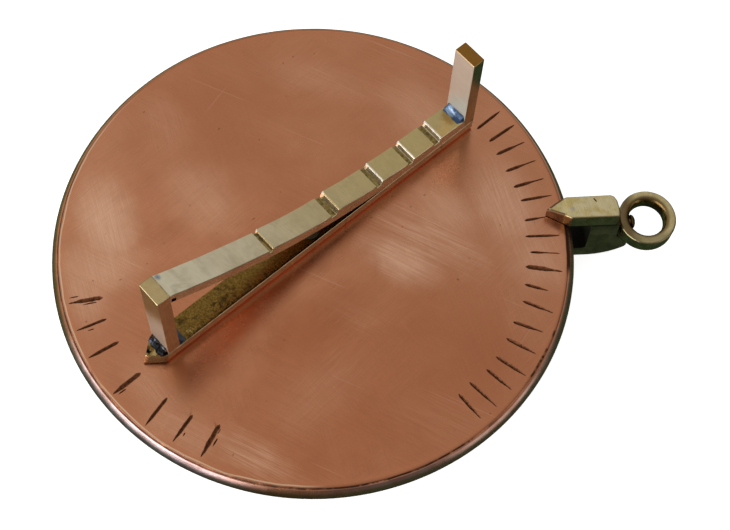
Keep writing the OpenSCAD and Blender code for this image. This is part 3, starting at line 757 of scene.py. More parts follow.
def solder_mat(name, c0, c1, c2, rough=0.25, metal=0.92):
    m = Mat(name)
    p = m.obj
    f = m.noise(p, 0.42, 3.0, 0.5, 0.8)
    g = m.noise(m.local(p, (4, 4, 4)), 0.9, 3.0, 0.5)
    run = m.noise(m.local(p, (2, 2, 2), GN, (1.0, 4.0, 1.0)), 0.8, 2.0, 0.5)
    col = m.mix(m.step(f, 0.40, 0.60), c0, c1)
    col = m.mix(m.step(run, 0.56, 0.68), col, c2)
    col = m.mix(m.step(g, 0.60, 0.72, 0.0, 0.7), col, tuple(c * 0.5 for c in c0))
    m.set("Base Color", col)
    m.set("Metallic", metal)
    m.set("Roughness", m.step(g, 0.3, 0.7, rough, rough + 0.16))
    m.set("Normal", m.bump(m.ma("ADD", f, m.ma("MULTIPLY", g, 0.3)), 0.00010, 0.7))
    return m.m


mat_sol_navy = solder_mat("solder_foot", (0.006, 0.006, 0.007), (0.014, 0.014, 0.017), (0.075, 0.085, 0.11), 0.24)
mat_sol_grey = solder_mat("solder_corner", (0.022, 0.026, 0.034), (0.075, 0.088, 0.11), (0.16, 0.19, 0.235), 0.34, 0.6)
mat_sol_blue = solder_mat("solder_upright", (0.06, 0.10, 0.19), (0.20, 0.30, 0.46), (0.38, 0.50, 0.66), 0.34)
mat_sol_head = solder_mat("solder_head", (0.34, 0.23, 0.125), (0.46, 0.32, 0.18), (0.52, 0.38, 0.22), 0.4, 0.9)


def shackle_mat():
    m = Mat("shackle_brass")
    p = m.obj
    nx, ny, nzz = m.xyz(m.nrm)
    f = m.noise(p, 0.4, 4.0, 0.62, 0.4)
    g = m.noise(p, 1.8, 4.0, 0.65)
    # painted reflection: the sides dark olive-green; the upward faces darker still, as painted shade
    green = m.mix(m.step(f, 0.38, 0.64), (0.165, 0.155, 0.078), (0.27, 0.25, 0.13))
    up = m.step(nzz, 0.45, 0.8)
    shade = m.mix(m.step(g, 0.4, 0.66), (0.045, 0.035, 0.018), (0.12, 0.09, 0.045))
    col = m.mix(up, green, shade)
    # painted shade: the faces towards the disc darker, the floor of the slot and the lower inner faces black
    inner = m.step(m.xyz(m.nrm)[0], -0.5, -0.8)
    col = m.mix(m.ma("MULTIPLY", inner, 0.6), col, (0.055, 0.035, 0.02))
    px, _, pz = m.xyz(p)
    slot_floor_shade = m.ma("MULTIPLY", m.ma("MULTIPLY", up, m.step(pz, -5.9, -6.2)), m.step(px, -13.2, -13.8))
    black = m.ma("MAXIMUM", slot_floor_shade, m.ma("MULTIPLY", inner, m.step(pz, 3.6, 3.0)))
    col = m.mix(m.ma("MULTIPLY", black, 0.95), col, (0.008, 0.007, 0.005))
    # painted shade in the fork and under the pointer
    shade_in_slot = m.step(m.xyz(p)[0], -21.4, -18.6, 0.75, 0.0)
    col = m.mix(shade_in_slot, col, (0.020, 0.014, 0.010))
    # painted shade on the top of the body, under the pointer plate
    under_pointer_shade = m.step(m.xyz(p)[2], 3.4, 4.1, 0.0, 0.55)
    col = m.mix(under_pointer_shade, col, (0.018, 0.016, 0.010))
    st = m.noise(m.local(p, (0, 0, 0), 0, (6.0, 4.0, 0.09)), 1.0, 3.0, 0.6)
    col = m.mix(1.0, col, m.comb(m.step(st, 0.3, 0.7, 0.8, 1.2)), "MULTIPLY")
    m.set("Base Color", col)
    m.set("Metallic", m.mixf(black, 0.95, 0.10))
    m.set("Specular IOR Level", 0.10)
    m.set("Roughness", m.mixf(black, m.step(g, 0.3, 0.7, 0.26, 0.44), 0.80))
    m.set("Normal", m.bump(m.ma("ADD", st, m.ma("MULTIPLY", g, 0.6)), 0.00001, 1.0))
    return m.m


def pointer_mat():
    m = Mat("pointer_brass")
    p = m.obj
    nx, ny, nzz = m.xyz(m.nrm)
    up = m.step(nzz, 0.5, 0.82)
    f = m.noise(p, 0.35, 4.0, 0.62, 0.5)
    g = m.noise(p, 1.7, 5.0, 0.66)
    topc = m.mix(m.step(f, 0.36, 0.62), (0.66, 0.51, 0.20), (0.78, 0.66, 0.38))
    topc = m.mix(m.step(g, 0.58, 0.80, 0.0, 0.08), topc, (0.42, 0.36, 0.22))
    # painted shade: the top darker brown towards the ring end
    topc = m.mix(m.step(m.xyz(p)[0], -8.6, -6.6, 0.0, 0.55), topc, (0.34, 0.22, 0.10))
    topc = m.mix(m.step(m.xyz(p)[0], -21.6, -24.4, 0.0, 0.25), topc, (0.56, 0.38, 0.15))
    nick = m.local(p, (-13.30, 2.00, 0), math.radians(-59), (1.0, 1.0, 1.0))
    nu, nv, _ = m.xyz(nick)
    cut = m.ma("MULTIPLY", m.step(m.ma("ABSOLUTE", nu), 0.45, 0.62, 1.0, 0.0), m.step(m.ma("ABSOLUTE", nv), 0.10, 0.20, 1.0, 0.0))
    topc = m.mix(cut, topc, (0.035, 0.020, 0.008))
    spot = m.step(m.ma("ADD", m.vm("DISTANCE", p, (-18.8, 0.1, 8.7)), m.ma("MULTIPLY", m.ma("SUBTRACT", g, 0.5), 1.2)), 0.15, 0.85, 0.6, 0.0)
    topc = m.mix(spot, topc, (0.40, 0.39, 0.36))
    x = m.xyz(p)[0]
    # painted reflection: the sides olive-green, and brown near the tip where they look down onto the copper
    facet = m.step(x, -20.6, -21.3)
    fcol = m.mix(m.step(f, 0.4, 0.62), (0.20, 0.125, 0.075), (0.38, 0.245, 0.15))
    green = m.mix(m.step(f, 0.40, 0.62), (0.42, 0.35, 0.18), (0.58, 0.49, 0.27))
    sidec = m.mix(facet, green, fcol)
    col = m.mix(up, sidec, topc)
    ac = m.noise(m.local(p, (0, 0, 0), math.radians(8), (0.12, 5.0, 3.0)), 1.0, 3.0, 0.6)
    col = m.mix(1.0, col, m.comb(m.step(ac, 0.3, 0.7, 0.88, 1.1)), "MULTIPLY")
    m.set("Base Color", col)
    m.set("Metallic", 1.0)
    m.set("Roughness", m.ma("ADD", m.step(g, 0.3, 0.7, 0.2, 0.34), m.ma("MULTIPLY", m.ma("SUBTRACT", 1.0, up), 0.05)))
    # painted shade: the rounded edges of the top coloured darker than the top, darker still towards the tip
    edge_wear_and_painted_light = m.ma("MULTIPLY", m.step(nzz, 0.12, 0.35), m.step(nzz, 0.82, 0.95, 1.0, 0.0))
    edge_wear_and_painted_light = m.ma("MULTIPLY", edge_wear_and_painted_light, m.step(x, -21.4, -20.4, 0.12, 1.0))
    col = m.mix(m.ma("MULTIPLY", edge_wear_and_painted_light, m.step(f, 0.3, 0.55, 0.5, 0.95)), col, (0.44, 0.33, 0.17))
    tip_edge = m.ma("MULTIPLY", m.ma("MULTIPLY", m.step(nzz, 0.12, 0.35), m.step(nzz, 0.90, 0.985, 1.0, 0.0)), m.step(x, -20.2, -21.0))
    col = m.mix(tip_edge, col, (0.155, 0.090, 0.048))
    m.set("Roughness", m.mixf(tip_edge, m.ma("ADD", m.step(g, 0.3, 0.7, 0.2, 0.34), m.ma("MULTIPLY", m.ma("SUBTRACT", 1.0, up), 0.05)), 0.5))
    m.set("Base Color", col)
    m.set("Normal", m.bump(m.ma("SUBTRACT", m.ma("ADD", ac, m.ma("MULTIPLY", g, 0.12)), m.ma("MULTIPLY", cut, 2.0)), 0.000005, 1.0))
    return m.m


def ring_mat():
    m = Mat("ring_brass")
    p = m.obj
    n = m.nrm
    nx, ny, nzz = m.xyz(n)
    up = m.step(nzz, 0.55, 0.85)
    x, y, z = m.xyz(p)
    rr = m.ma("SQRT", m.ma("ADD", m.ma("MULTIPLY", x, x), m.ma("MULTIPLY", y, y)))
    f = m.noise(p, 0.45, 4.0, 0.62, 0.4)
    g = m.noise(p, 1.6, 4.0, 0.66)
    top = m.mix(m.step(f, 0.36, 0.64), (0.58, 0.46, 0.21), (0.74, 0.60, 0.32))
    # painted shade: the top darker at its left by the shackle, along its inner edge and on its near side
    top = m.mix(m.step(x, -1.6, -4.6, 0.0, 0.85), top, (0.13, 0.075, 0.035))
    top = m.mix(m.step(rr, 5.65, 4.95, 0.0, 0.88), top, (0.20, 0.125, 0.042))
    top = m.mix(m.step(y, -3.4, -5.4, 0.0, 0.62), top, (0.30, 0.24, 0.115))
    inner = m.mix(m.step(f, 0.46, 0.68), (0.15, 0.08, 0.025), (0.50, 0.34, 0.11))
    outer = m.mix(m.step(f, 0.42, 0.64), (0.36, 0.31, 0.16), (0.58, 0.50, 0.28))
    side = m.mix(m.step(rr, 5.2, 5.6), inner, outer)
    col = m.mix(up, side, top)
    turned = m.noise(m.vmc(rr, z), 1.0, 2.0, 0.6)
    col = m.mix(1.0, col, m.comb(m.step(turned, 0.3, 0.7, 0.88, 1.12)), "MULTIPLY")
    m.set("Base Color", col)
    m.set("Metallic", 1.0)
    m.set("Roughness", m.step(g, 0.3, 0.7, 0.2, 0.36))
    m.set("Normal", m.bump(m.ma("ADD", turned, m.ma("MULTIPLY", g, 0.3)), 0.000007, 1.0))
    return m.m


def vmc(self, r, z):
    n = self.t.nodes.new("ShaderNodeCombineXYZ")
    self.put(n.inputs[0], self.ma("MULTIPLY", r, 7.0))
    self.put(n.inputs[1], self.ma("MULTIPLY", z, 7.0))
    return n.outputs[0]


Mat.vmc = vmc


def plain_brass(name, c0, c1, rough=0.25, turned=None, shade_in_slot=None, dark_above=None):
    """Turned or filed brass of the small parts behind the disc."""
    m = Mat(name)
    p = m.obj
    f = m.noise(p, 0.3, 4.0, 0.62, 0.4)
    g = m.noise(p, 1.6, 4.0, 0.66)
    col = m.mix(m.step(f, 0.36, 0.64), c0, c1)
    col = m.mix(m.step(g, 0.60, 0.78, 0.0, 0.6), col, tuple(c * 0.35 for c in c0))
    if shade_in_slot:
        # painted shade: blackened towards one end, the end that lies in the shackle's slot: (x0, x1)
        burnt = m.ma("ADD", m.xyz(p)[0], m.ma("MULTIPLY", m.ma("SUBTRACT", f, 0.5), 8.0))
        slot_shaded = m.step(burnt, shade_in_slot[0], shade_in_slot[1], 0.0, 0.95)
        col = m.mix(slot_shaded, col, (0.010, 0.008, 0.006))
    if turned:
        q = m.local(p, (turned[0], turned[1], 0))
        x, y, z = m.xyz(q)
        r = m.ma("SQRT", m.ma("ADD", m.ma("MULTIPLY", x, x), m.ma("MULTIPLY", y, y)))
        st = m.noise(m.vmc(r, z), 1.4, 2.0, 0.6)
    else:
        st = m.noise(m.local(p, (0, 0, 0), 0, (7.0, 0.10, 0.10)), 1.0, 3.0, 0.6)
    col = m.mix(1.0, col, m.comb(m.step(st, 0.3, 0.7, 0.86, 1.12)), "MULTIPLY")
    # nearly black above the given height, and less of a metal there
    if dark_above is not None:
        col = m.mix(m.step(m.xyz(p)[2], dark_above - 0.15, dark_above, 0.0, 0.93), col, (0.016, 0.010, 0.006))
    m.set("Base Color", col)
    ro = m.ma("ADD", m.step(g, 0.3, 0.7, rough, rough + 0.14), m.step(st, 0.3, 0.7, 0.03, -0.03))
    if shade_in_slot:
        m.set("Metallic", m.mixf(slot_shaded, 1.0, 0.1))
        m.set("Specular IOR Level", 0.10)
        ro = m.mixf(slot_shaded, ro, 0.8)
    elif dark_above is not None:
        dark_top = m.step(m.xyz(p)[2], dark_above - 0.15, dark_above)
        m.set("Metallic", m.mixf(dark_top, 1.0, 0.2))
        m.set("Specular IOR Level", 0.08)
        ro = m.mixf(dark_top, ro, 0.7)
    else:
        m.set("Metallic", 1.0)
    m.set("Roughness", ro)
    m.set("Normal", m.bump(m.ma("ADD", st, m.ma("MULTIPLY", g, 0.5)), 0.00001, 1.0))
    return m.m


mat_shackle = shackle_mat()
mat_pointer = pointer_mat()
mat_ring = ring_mat()
mat_arbor = plain_brass("arbor_brass", (0.50, 0.38, 0.16), (0.64, 0.52, 0.26), 0.22, PIVOT, dark_above=7.65)
mat_washer = plain_brass("washer_brass", (0.52, 0.42, 0.20), (0.66, 0.55, 0.30), 0.28, PIVOT)
mat_steel = plain_brass("washer_steel", (0.42, 0.42, 0.41), (0.58, 0.58, 0.56), 0.3, PIVOT)
mat_arm = plain_brass("arm_brass", (0.42, 0.33, 0.15), (0.58, 0.48, 0.26), 0.26, shade_in_slot=(-42.0, -30.0))
mat_rivet = plain_brass("rivet_brass", (0.46, 0.33, 0.13), (0.62, 0.48, 0.22), 0.24, shade_in_slot=(-36.0, -14.0))
mat_pin = plain_brass("pin_brass", (0.10, 0.06, 0.026), (0.19, 0.12, 0.052), 0.30)


# ---------------------------------------------------------------- the disc

# (angle, radius) at the inner and at the outer end of each cut, then its width,
# how much of it is cut deep, and how ragged it is
CUTS = [
    (33.2, 49.2, 33.6, 56.7, 0.50, 0.95, 0.10), (28.1, 49.5, 28.6, 57.2, 0.54, 0.95, 0.10),
    (23.6, 49.0, 23.4, 56.6, 0.58, 0.60, 0.12), (17.8, 48.8, 17.8, 56.6, 0.56, 0.52, 0.14),
    (12.5, 48.9, 12.6, 56.4, 0.60, 0.55, 0.16), (8.0, 49.4, 7.8, 56.8, 0.50, 0.80, 0.28),
    (1.9, 49.1, 2.3, 54.1, 0.48, 0.62, 0.28), (-2.9, 48.7, -2.9, 56.6, 0.44, 0.90, 0.32),
    (-7.6, 49.6, -7.6, 56.4, 0.42, 0.38, 0.30), (-12.0, 48.7, -12.2, 57.0, 0.78, 0.70, 0.22),
    (-17.3, 49.0, -17.7, 54.3, 0.50, 0.80, 0.22), (-22.2, 49.4, -23.0, 56.6, 0.52, 0.70, 0.20),
    (-28.8, 48.9, -28.4, 55.8, 0.54, 0.72, 0.24), (-33.9, 49.1, -34.1, 56.4, 0.56, 0.80, 0.22),
    (-39.8, 49.3, -39.9, 57.0, 0.56, 0.85, 0.20), (-44.2, 49.3, -44.6, 56.4, 0.54, 0.80, 0.20),
    (-49.9, 48.5, -49.9, 56.4, 0.54, 0.75, 0.22), (-54.3, 48.8, -54.5, 55.9, 0.56, 0.75, 0.24),
    (-168.3, 49.5, -169.0, 56.9, 0.72, 0.80, 0.45), (-162.2, 50.1, -162.0, 57.1, 0.44, 0.90, 0.20),
    (-155.0, 49.8, -154.8, 57.2, 0.56, 0.92, 0.12), (-144.6, 49.8, -144.5, 57.2, 0.74, 0.92, 0.20),
    (-134.9, 49.6, -134.2, 57.2, 0.54, 0.92, 0.14), (-126.9, 49.5, -127.1, 56.6, 0.58, 0.85, 0.26),
    (-119.6, 48.6, -120.0, 56.7, 0.72, 0.85, 0.40),
    # slips of the graver beside the wide cuts
    (-167.5, 51.0, -167.8, 54.0, 0.20, 0.9, 0.3), (-170.2, 54.6, -170.3, 56.6, 0.18, 0.9, 0.3),
    (-143.6, 54.4, -143.7, 56.4, 0.20, 0.9, 0.4), (-125.9, 53.6, -125.9, 54.5, 0.18, 0.9, 0.4),
    (-118.5, 51.6, -118.7, 53.6, 0.22, 0.9, 0.4), (-118.9, 49.4, -119.0, 50.6, 0.20, 0.9, 0.4),
    (-160.9, 53.4, -161.0, 54.8, 0.16, 0.9, 0.4),
]


def cut_mark(k, a0, r0, a1, r1, w, deep, rag):
    """Cross-sections of one hand-cut stroke: outline points left and right, lips and floor."""
    p0 = np.array([r0 * math.cos(math.radians(a0)), r0 * math.sin(math.radians(a0))])
    p1 = np.array([r1 * math.cos(math.radians(a1)), r1 * math.sin(math.radians(a1))])
    d = p1 - p0
    length = float(np.linalg.norm(d))
    d /= length
    nrm = np.array([-d[1], d[0]])
    n = max(7, int(length / 0.22))
    rows = []
    # the bright lip lies on the upper right of a stroke, where the graver threw it up
    side = 1.0 if float(nrm @ np.array([0.5, 0.85])) > 0 else -1.0
    for i in range(n + 1):
        t = i / n
        grow = min(1.0, 0.30 + 0.70 * (t / 0.09) ** 0.7) if t < 0.09 else 1.0
        end = min(1.0, 0.35 + 0.65 * ((1 - t) / 0.07) ** 0.7) if t > 0.93 else 1.0
        full = 1.0 if t < deep * 0.75 else max(0.42, 1.0 - (t - deep * 0.75) / 0.45)
        half = 0.5 * w * 1.42 * grow * end * full
        if 0 < i < n:
            half = max(half, 0.045)
        jl = rag * w * 0.35 * mnoise.noise(Vector((t * length * 1.9, k * 3.1, 0.3)))
        jr = rag * w * 0.35 * mnoise.noise(Vector((t * length * 1.7, k * 3.1, 7.7)))
        jc = rag * w * 0.20 * mnoise.noise(Vector((t * length * 0.7, k * 5.1, 4.7)))
        c = p0 + d * (t * length) + nrm * jc
        rows.append((c, max(0.03, half + jl), max(0.03, half + jr), 0.30 * full * grow * end + 0.05, t))
    return rows, d, nrm, side


def build_disc():
    verts, faces, idx = [], [], []

    def add(v):
        verts.append(v)
        return len(verts) - 1

    # rim, turned and then filed by hand
    prof = [(57.5, 3.0), (57.85, 2.985), (58.15, 2.93), (58.35, 2.85), (58.44, 2.76), (58.56, 2.735), (58.68, 2.72),
            (58.85, 2.62), (59.2, 2.28), (59.55, 1.85), (59.8, 1.40), (59.94, 1.0), (60.0, 0.72), (59.95, 0.42),
            (59.8, 0.22), (59.5, 0.07), (59.2, 0.0)]
    n = 420
    rows = []
    for k, (r, z) in enumerate(prof):
        row = []
        for i in range(n):
            a = 2 * math.pi * i / n
            ca, sa = math.cos(a), math.sin(a)
            if k in (0, len(prof) - 1):
                rr, zz = r, z
            else:
                j = 0.05 * mnoise.noise(Vector((ca * 3.1, sa * 3.1, 0.4 + k * 0.05))) - 0.03
                j += 0.018 * mnoise.noise(Vector((ca * 14, sa * 14, 2.0 + k * 0.3)))
                rr = min(59.97, r + j * (1.0 if k < 11 else 0.4))
                zz = z - 0.02 * (1 + mnoise.noise(Vector((ca * 5, sa * 5, 9.0 + k * 0.2)))) * (1 if 2 < k < 12 else 0)
            row.append(add((DISC_C[0] + rr * ca, DISC_C[1] + rr * sa, BOTTOM + zz)))
        rows.append(row)
    for a, b in zip(rows, rows[1:]):
        for i in range(n):
            j = (i + 1) % n
            faces.append((a[i], b[i], b[j], a[j]))
            idx.append(0)
    # bore for the arbor
    nb = 64
    bore_t = [add((PIVOT[0] + 1.6 * math.cos(2 * math.pi * i / nb), PIVOT[1] + 1.6 * math.sin(2 * math.pi * i / nb), TOP)) for i in range(nb)]
    bore_b = [add((verts[i][0], verts[i][1], BOTTOM)) for i in bore_t]
    for i in range(nb):
        j = (i + 1) % nb
        faces.append((bore_t[i], bore_t[j], bore_b[j], bore_b[i]))
        idx.append(0)
    # the marks
    holes, hole_ids = [], []
    for k, cut in enumerate(CUTS):
        st, d, nrm, side = cut_mark(k, *cut)
        lo, li, fl, ri, ro = [], [], [], [], []
        lip = 0.10
        for q, hl, hr, dep, t in st:
            c = np.array(DISC_C) + q
            # left is against nrm, right is with it
            a = 0.055 if side < 0 else 0.012
            b = 0.055 if side > 0 else 0.012
            fade = min(1.0, t / 0.12, (1 - t) / 0.12) if 0 < t < 1 else 0.0
            pl, pr = c - nrm * hl, c + nrm * hr
            ol, orr = c - nrm * (hl + lip), c + nrm * (hr + lip)
            lo.append((ol[0], ol[1], TOP))
            li.append((pl[0], pl[1], TOP + a * fade))
            m0 = c + nrm * (hr - hl) * 0.4
            fl.append((m0[0], m0[1], TOP - dep))
            ri.append((pr[0], pr[1], TOP + b * fade))
            ro.append((orr[0], orr[1], TOP))
        ids = [[add(v) for v in line] for line in (lo, li, fl, ri, ro)]
        # the two ends of the stroke close to a point
        e0 = st[0][0] + np.array(DISC_C) - d * 0.16
        e1 = st[-1][0] + np.array(DISC_C) + d * 0.16
        v0, v1 = add((e0[0], e0[1], TOP)), add((e1[0], e1[1], TOP))
        m = len(st)
        for i in range(m - 1):
            for row, (A, B) in enumerate(zip(ids, ids[1:])):
                faces.append((A[i], B[i], B[i + 1], A[i + 1]))
                idx.append(0 if row in (0, 3) else 1)
        for v, i in ((v0, 0), (v1, m - 1)):
            for A, B in zip(ids, ids[1:]):
                faces.append((v, A[i], B[i]) if i == 0 else (v, B[i], A[i]))
                idx.append(0 if A is ids[0] or A is ids[3] else 1)
        outline = [v0] + ids[4] + [v1] + ids[0][::-1]
        holes.append([(verts[i][0], verts[i][1]) for i in outline])
        hole_ids.append(outline)
    outer = rows[0]
    extra = []
    for rr in np.arange(6.0, 57.0, 4.6):
        kk = max(10, int(rr * 1.35))
        for i in range(kk):
            a = 2 * math.pi * (i + 0.5 * (int(rr) % 2)) / kk
            q = (DISC_C[0] + rr * math.cos(a), DISC_C[1] + rr * math.sin(a))
            if math.hypot(q[0] - PIVOT[0], q[1] - PIVOT[1]) < 3.0:
                continue
            if 47.0 < rr and any(min((q[0] - h[0]) ** 2 + (q[1] - h[1]) ** 2 for h in hole) < 0.5 for hole in holes):
                continue
            extra.append(q)

    def sheet(outer_ids, hole_rows, z, flip, more):
        pts, tris, loops = fill([(verts[i][0], verts[i][1]) for i in outer_ids],
                                [[(verts[i][0], verts[i][1]) for i in h] for h in hole_rows], more)
        where = {}
        for ids_, lp in zip([outer_ids, *hole_rows], loops):
            for real, k in zip(ids_, lp):
                where[k] = real
        for k, p in enumerate(pts):
            if k not in where:
                where[k] = add((p[0], p[1], z))
        for t in tris:
            f = tuple(where[k] for k in t)
            if len(set(f)) == 3:
                faces.append(f[::-1] if flip else f)
                idx.append(0)

    sheet(outer, [bore_t, *hole_ids], TOP, False, extra)
    sheet(rows[-1], [bore_b], BOTTOM, True, [e for e in extra])
    o = to_object("copper_disc", verts, faces, [mat_disc, mat_mark], idx, angle=24.0)
    return place(o, "disc", "dial_disc", "dial_disc")


build_disc()


# ---------------------------------------------------------------- the gnomon

def gnomon_part(name, outline, lo, hi, r, node, mat, plane="side", grid=0.0, shape=None, mats=None, index=None, seg=3, mid=1):
    """plane "side": outline is (along, height); plane "top": outline is (along, across)."""
    vs, fs = slab(outline, lo, hi, r, seg, mid, grid)
    out = []
    for u, v, w in vs:
        s, y, z = (u, w, v) if plane == "side" else (u, v, w)
        if shape:
            s, y, z = shape(s, y, z)
        out.append(gnomon_frame(s, y, z))
    idx = [index(*(np.mean([vs[i] for i in f], axis=0))) for f in fs] if index else None
    o = to_object(name, out, fs, mats or [mat], idx, angle=28.0)
    return place(o, "gnomon", node, node)


def base_shape(s, y, z):
    # the leaning facets of the date point, and the solder pits on it
    if s < -43.05:
        k = 1.0 * (BASE_Z1 - z) / (BASE_Z1 - BASE_Z0)
        s -= k * min(1.0, (-43.05 - s) / 0.4)
    if z < BASE_Z0 + 0.58 and s * s + y * y > 4.0:
        # the long lower edges are broken with the file, and the bore stays round
        y *= 1.0 - (BASE_Z0 + 0.58 - z) / 0.58 * 0.48 / 3.1
    if z > BASE_Z1 - 0.02:
        for a, b, q, w in ((-45.75, 0.45, 0.40, 0.42), (-45.5, 1.6, 0.34, 0.30), (-44.4, -1.9, 0.2, 0.2)):
            z -= q * math.exp(-((s - a) ** 2 + (y - b) ** 2) / (2 * (w * 0.62) ** 2))
        z -= 0.03 * (0.5 + 0.5 * nz(s, y, 0, 2.6, 1))
    return s, y, z


plan = round_corners([(-47.1, 0), (-43.4, -3.1), (48.4, -3.1), (48.4, 3.1), (-43.4, 3.1)], [0.25, 0.2, 0.35, 0.35, 0.2])


def base_bar():
    outline = densify(plan, 0.9)
    vs, fs = slab(outline, BASE_Z0, BASE_Z1, 0.20, 3, 7, 0.0)
    # a finer top, and the hole for the arbor
    keep = [f for f in fs if len(f) == 4]
    n = len(outline)
    rows = 2 * 4 + 6
    verts = vs[: rows * n]
    nb = 64
    hole = [(1.65 * math.cos(2 * math.pi * i / nb), 1.65 * math.sin(2 * math.pi * i / nb)) for i in range(nb)]
    ids = {}
    for tag, base, w, step in (("b", 0, BASE_Z0, 1.5), ("t", (rows - 1) * n, BASE_Z1, 0.62)):
        loop = [(verts[base + i][0], verts[base + i][1]) for i in range(n)]
        inner = inset(loop, 0.25)
        extra = [(x, y) for x in np.arange(-47.0, 48.3, step) for y in np.arange(-2.7, 2.8, step)
                 if inside((x, y), inner) and math.hypot(x, y) > 2.1]
        if tag == "t":
            extra += [(x, y) for x in np.arange(-46.4, -43.2, 0.16) for y in np.arange(-2.4, 2.4, 0.16)
                      if inside((x + 0.05, y + 0.04), inner)]
        pts, tris, loops = fill(loop, [hole], extra)
        where = {k: base + i for i, k in enumerate(loops[0])}
        ring = []
        for k in loops[1]:
            where[k] = len(verts)
            ring.append(len(verts))
            verts.append((pts[k][0], pts[k][1], w))
        ids[tag] = ring
        for k, p in enumerate(pts):
            if k not in where:
                where[k] = len(verts)
                verts.append((p[0], p[1], w))
        for t in tris:
            f = tuple(where[k] for k in t)
            if len(set(f)) == 3:
                keep.append(f[::-1] if tag == "b" else f)
    for i in range(nb):
        j = (i + 1) % nb
        keep.append((ids["t"][i], ids["t"][j], ids["b"][j], ids["b"][i]))
    out = [gnomon_frame(*base_shape(*v)) for v in verts]
    o = to_object("base_bar", out, keep, [mat_base], None, angle=28.0)
    return place(o, "gnomon", "gnomon_base_bar", "gnomon_base_bar")


base_bar()

HOUR_TOP = [
    (-39.8, 26.0), (-36, 23.6), (-32.3, 21.6), (-27.5, 18.8), (-21.9, 16.1), (-16.8, 13.6), (-14.0, 12.3),
    (-13.95, 11.4), (-13.2, 11.3), (-12.94, 12.14), (-12.60, 12.28),
    (-5.2, 9.0), (0.6, 7.1), (3.9, 6.4),
    (3.95, 5.5), (5.5, 5.4), (6.11, 6.62), (6.46, 6.82),
    (12.3, 5.0), (17.5, 4.0),
    (17.55, 3.2), (18.9, 3.1), (19.42, 4.13), (19.77, 4.35),
    (24.7, 3.35), (27.5, 3.05),
    (27.55, 2.3), (28.8, 2.3), (29.22, 3.24), (29.57, 3.48),
    (35.5, 3.05),
    (35.55, 2.3), (37.2, 2.3), (37.62, 3.20), (37.97, 3.43),
    (45.2, 3.0)]


def under(s):
    return 0.0168 * max(0.0, 24 - s) ** 1.736


def smooth_top(pts):
    """The bar's top between the notches as gentle curves, with the notch corners kept."""
    out = []
    for i, (a, b) in enumerate(zip(pts, pts[1:])):
        d = math.hypot(b[0] - a[0], b[1] - a[1])
        if d < 1.9:
            out.append(a)
            continue
        steps = max(1, int(d / 1.2))
        for k in range(steps):
            t = k / steps
            out.append((a[0] + (b[0] - a[0]) * t, a[1] + (b[1] - a[1]) * t))
    out.append(pts[-1])
    # soften the polyline's joints away from the notches
    flat = [i for i, p in enumerate(out) if not any(abs(p[0] - q) < 1.5 for q in (-13.4, 5.3, 18.7, 28.6, 36.8, -39.8, 45.2))]
    for _ in range(3):
        new = list(out)
        for i in flat:
            if 0 < i < len(out) - 1:
                new[i] = (out[i][0], (out[i - 1][1] + 2 * out[i][1] + out[i + 1][1]) / 4)
        out = new
    return out


def hour_bar():
    top = [(s, BASE_Z1 + h) for s, h in smooth_top(HOUR_TOP)]
    low = [(s, BASE_Z1 + under(s)) for s in [45.2, 40, 34, 29, 24] + [21 - 1.5 * k for k in range(40)] if s > -39.7]
    low.append((-39.8, BASE_Z1 + under(-39.8)))
    poly = top + low
    if area2(poly) < 0:
        poly = poly[::-1]
    poly = round_corners(poly, 0.10, 2, 25.0)
    notches = (-13.5, 4.7, 18.3, 28.2, 36.4)

    def index(u, v, w):
        if abs(w) > 2.9:
            return 0
        for q, (a, b) in zip(notches, ((-14.1, -13.15), (3.85, 5.6), (17.45, 18.95), (27.45, 28.85), (35.45, 37.25))):
            if a <= u <= b:
                h = next((t for t in ((s, z) for s, z in top) if t[0] >= u), (0, 99))
                lip = {-13.5: 12.3, 4.7: 6.4, 18.3: 4.0, 28.2: 3.05, 36.4: 3.05}[q]
                if v > BASE_Z1 + 2.0 and v < BASE_Z1 + lip - 0.12 and v > BASE_Z1 + under(u) + 0.6:
                    return 1
        return 0

    def lips(me):
        # walls that look back down the bar, and the corner above them, get the lip material: bright brass with a
        # painted highlight
        back = Vector((-math.cos(GN), -math.sin(GN), 0.0))
        for f in me.polygons:
            s = math.cos(GN) * (f.center.x * 1000 - PIVOT[0]) + math.sin(GN) * (f.center.y * 1000 - PIVOT[1])
            if f.normal.dot(back) > 0.26 and -13.4 < s < 38.1 and f.area < 6e-6 and f.normal.z > 0.56:
                if any(a < s < b for a, b in ((-13.5, -12.7), (5.2, 6.5), (18.6, 19.8), (28.5, 29.6), (36.9, 38.0))):
                    f.material_index = 2

    def shape(s, y, z):
        # rubbed by hand: very slightly crowned across and wavy along
        z += 0.035 * nz(s, y, z, 3.1, 3) * (1 if z > BASE_Z1 + under(s) + 1.0 else 0)
        return s, y, z

    o = gnomon_part("hour_bar", poly, -3.05, 3.05, 0.20, "hour_scale_bar", mat_hour, mats=[mat_hour, mat_notch, mat_lip_highlight],
                    index=index, seg=3, mid=8, shape=shape)
    lips(o.data)
    return o


hour_bar()


def block_shape(seed, amount):
    def f(s, y, z):
        return (s + amount * nz(s, y, z, 5.0, seed), y + amount * nz(s, y, z, 6.0, seed + 3), z)
    return f


post_plan = round_corners([(-43.0, -3.1), (-39.8, -3.1), (-39.8, 3.1), (-43.0, 3.1)], 0.22, 3)
gnomon_part("post", densify(post_plan, 1.2), BASE_Z1, BASE_Z1 + 26.0, 0.22, "gnomon_post", mat_post, plane="top",
            seg=3, mid=14, shape=block_shape(1, 0.02))
up_plan = round_corners([(45.2, -3.1), (48.4, -3.1), (48.4, 3.1), (45.2, 3.1)], 0.20, 3)
gnomon_part("upright", densify(up_plan, 1.2), BASE_Z1, BASE_Z1 + 25.9, 0.20, "shadow_upright", mat_upright, plane="top",
            seg=3, mid=14, shape=block_shape(2, 0.02))


